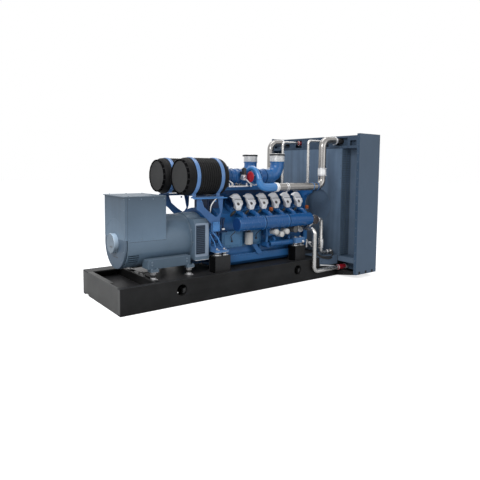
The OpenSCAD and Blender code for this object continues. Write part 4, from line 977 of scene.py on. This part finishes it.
RIGHT = Vector((0.799, -0.601, 0.010)).normalized()
FORWARD = Vector((0.600, 0.797, -0.077)).normalized()
DOWN = FORWARD.cross(RIGHT)
RIGHT = DOWN.cross(FORWARD)
PHOTO, SENSOR = 480.0, 36.0
FOCAL_PX, CENTRE_U, CENTRE_V = 455.617, 237.272, 203.809

camera_data = bpy.data.cameras.new("camera")
camera_data.sensor_width = SENSOR
camera_data.lens = FOCAL_PX * SENSOR / PHOTO
camera_data.shift_x = (PHOTO / 2 - CENTRE_U) / PHOTO
camera_data.shift_y = (CENTRE_V - PHOTO / 2) / PHOTO
camera_data.clip_end = 200.0
camera = bpy.data.objects.new("camera", camera_data)
SCENE.collection.objects.link(camera)
SCENE.camera = camera
camera.matrix_world = (Matrix.Translation(Vector((-4.622, -6.190, 1.925)))
                       @ Matrix((RIGHT, -DOWN, -FORWARD)).transposed().to_4x4())


def pick_shader(tree, factor, first, second, output):
    pick = node_of(tree, "ShaderNodeMixShader", {0: factor, 1: first, 2: second})
    tree.links.new(pick.outputs[0], tree.nodes[output].inputs["Surface"])


floor_mesh = bpy.data.meshes.new("floor")
floor_mesh.from_pydata([(-60, -60, 0), (60, -60, 0), (60, 60, 0), (-60, 60, 0)], [], [(0, 1, 2, 3)])
floor = bpy.data.objects.new("floor", floor_mesh)
SCENE.collection.objects.link(floor)
floor_white = bpy.data.materials.new("floor_white")
floor_mesh.materials.append(floor_white)
floor_white.use_nodes = True
tree = floor_white.node_tree
shader = tree.nodes["Principled BSDF"]
shader.inputs["Base Color"].default_value = (0.86, 0.86, 0.86, 1)
shader.inputs["Roughness"].default_value = 0.8
shader.inputs["Specular IOR Level"].default_value = 0.1
# the camera sees the floor as white where it is lit, and keeps the object's shadow
glow = node_of(tree, "ShaderNodeEmission", {"Color": (1, 1, 1, 1), "Strength": 0.7})
lit = node_of(tree, "ShaderNodeAddShader", {0: shader.outputs[0], 1: glow.outputs[0]})
seen = node_of(tree, "ShaderNodeLightPath").outputs["Is Camera Ray"]
pick_shader(tree, seen, shader.outputs[0], lit.outputs[0], "Material Output")

world = bpy.data.worlds.new("studio")
SCENE.world = world
world.use_nodes = True
tree = world.node_tree
back = tree.nodes["Background"]
back.inputs["Color"].default_value = (0.9, 0.94, 1.0, 1)
back.inputs["Strength"].default_value = 0.4
white = node_of(tree, "ShaderNodeBackground", {"Color": (1, 1, 1, 1), "Strength": 1.0})
# metal and glass reflect the same white
rays = node_of(tree, "ShaderNodeLightPath").outputs
ways = rays["Is Camera Ray"]
for ray in ("Is Glossy Ray", "Is Transmission Ray"):
    ways = maths(tree, "MAXIMUM", ways, rays[ray])
pick_shader(tree, ways, back.outputs[0], white.outputs[0], "World Output")


def lamp(name, at, target, size, power):
    data = bpy.data.lights.new(name, "AREA")
    data.shape, data.energy = "RECTANGLE", power
    data.size, data.size_y = size
    obj = bpy.data.objects.new(name, data)
    SCENE.collection.objects.link(obj)
    obj.location = at
    obj.rotation_euler = (Vector(target) - Vector(at)).to_track_quat("-Z", "Y").to_euler()


lamp("key", (-8.0, -4.5, 6.5), (0, 0, 0.9), (5, 4), 520)
lamp("fill", (3.0, -9.0, 4.0), (0.3, 0, 1.0), (6, 4), 110)
lamp("top", (0.5, 1.0, 8.5), (0.3, 0, 0), (6, 3), 200)
lamp("rim", (6.5, 5.5, 5.0), (0, 0, 1.2), (4, 4), 120)

SCENE.view_settings.view_transform = "Standard"

bpy.context.view_layer.update()
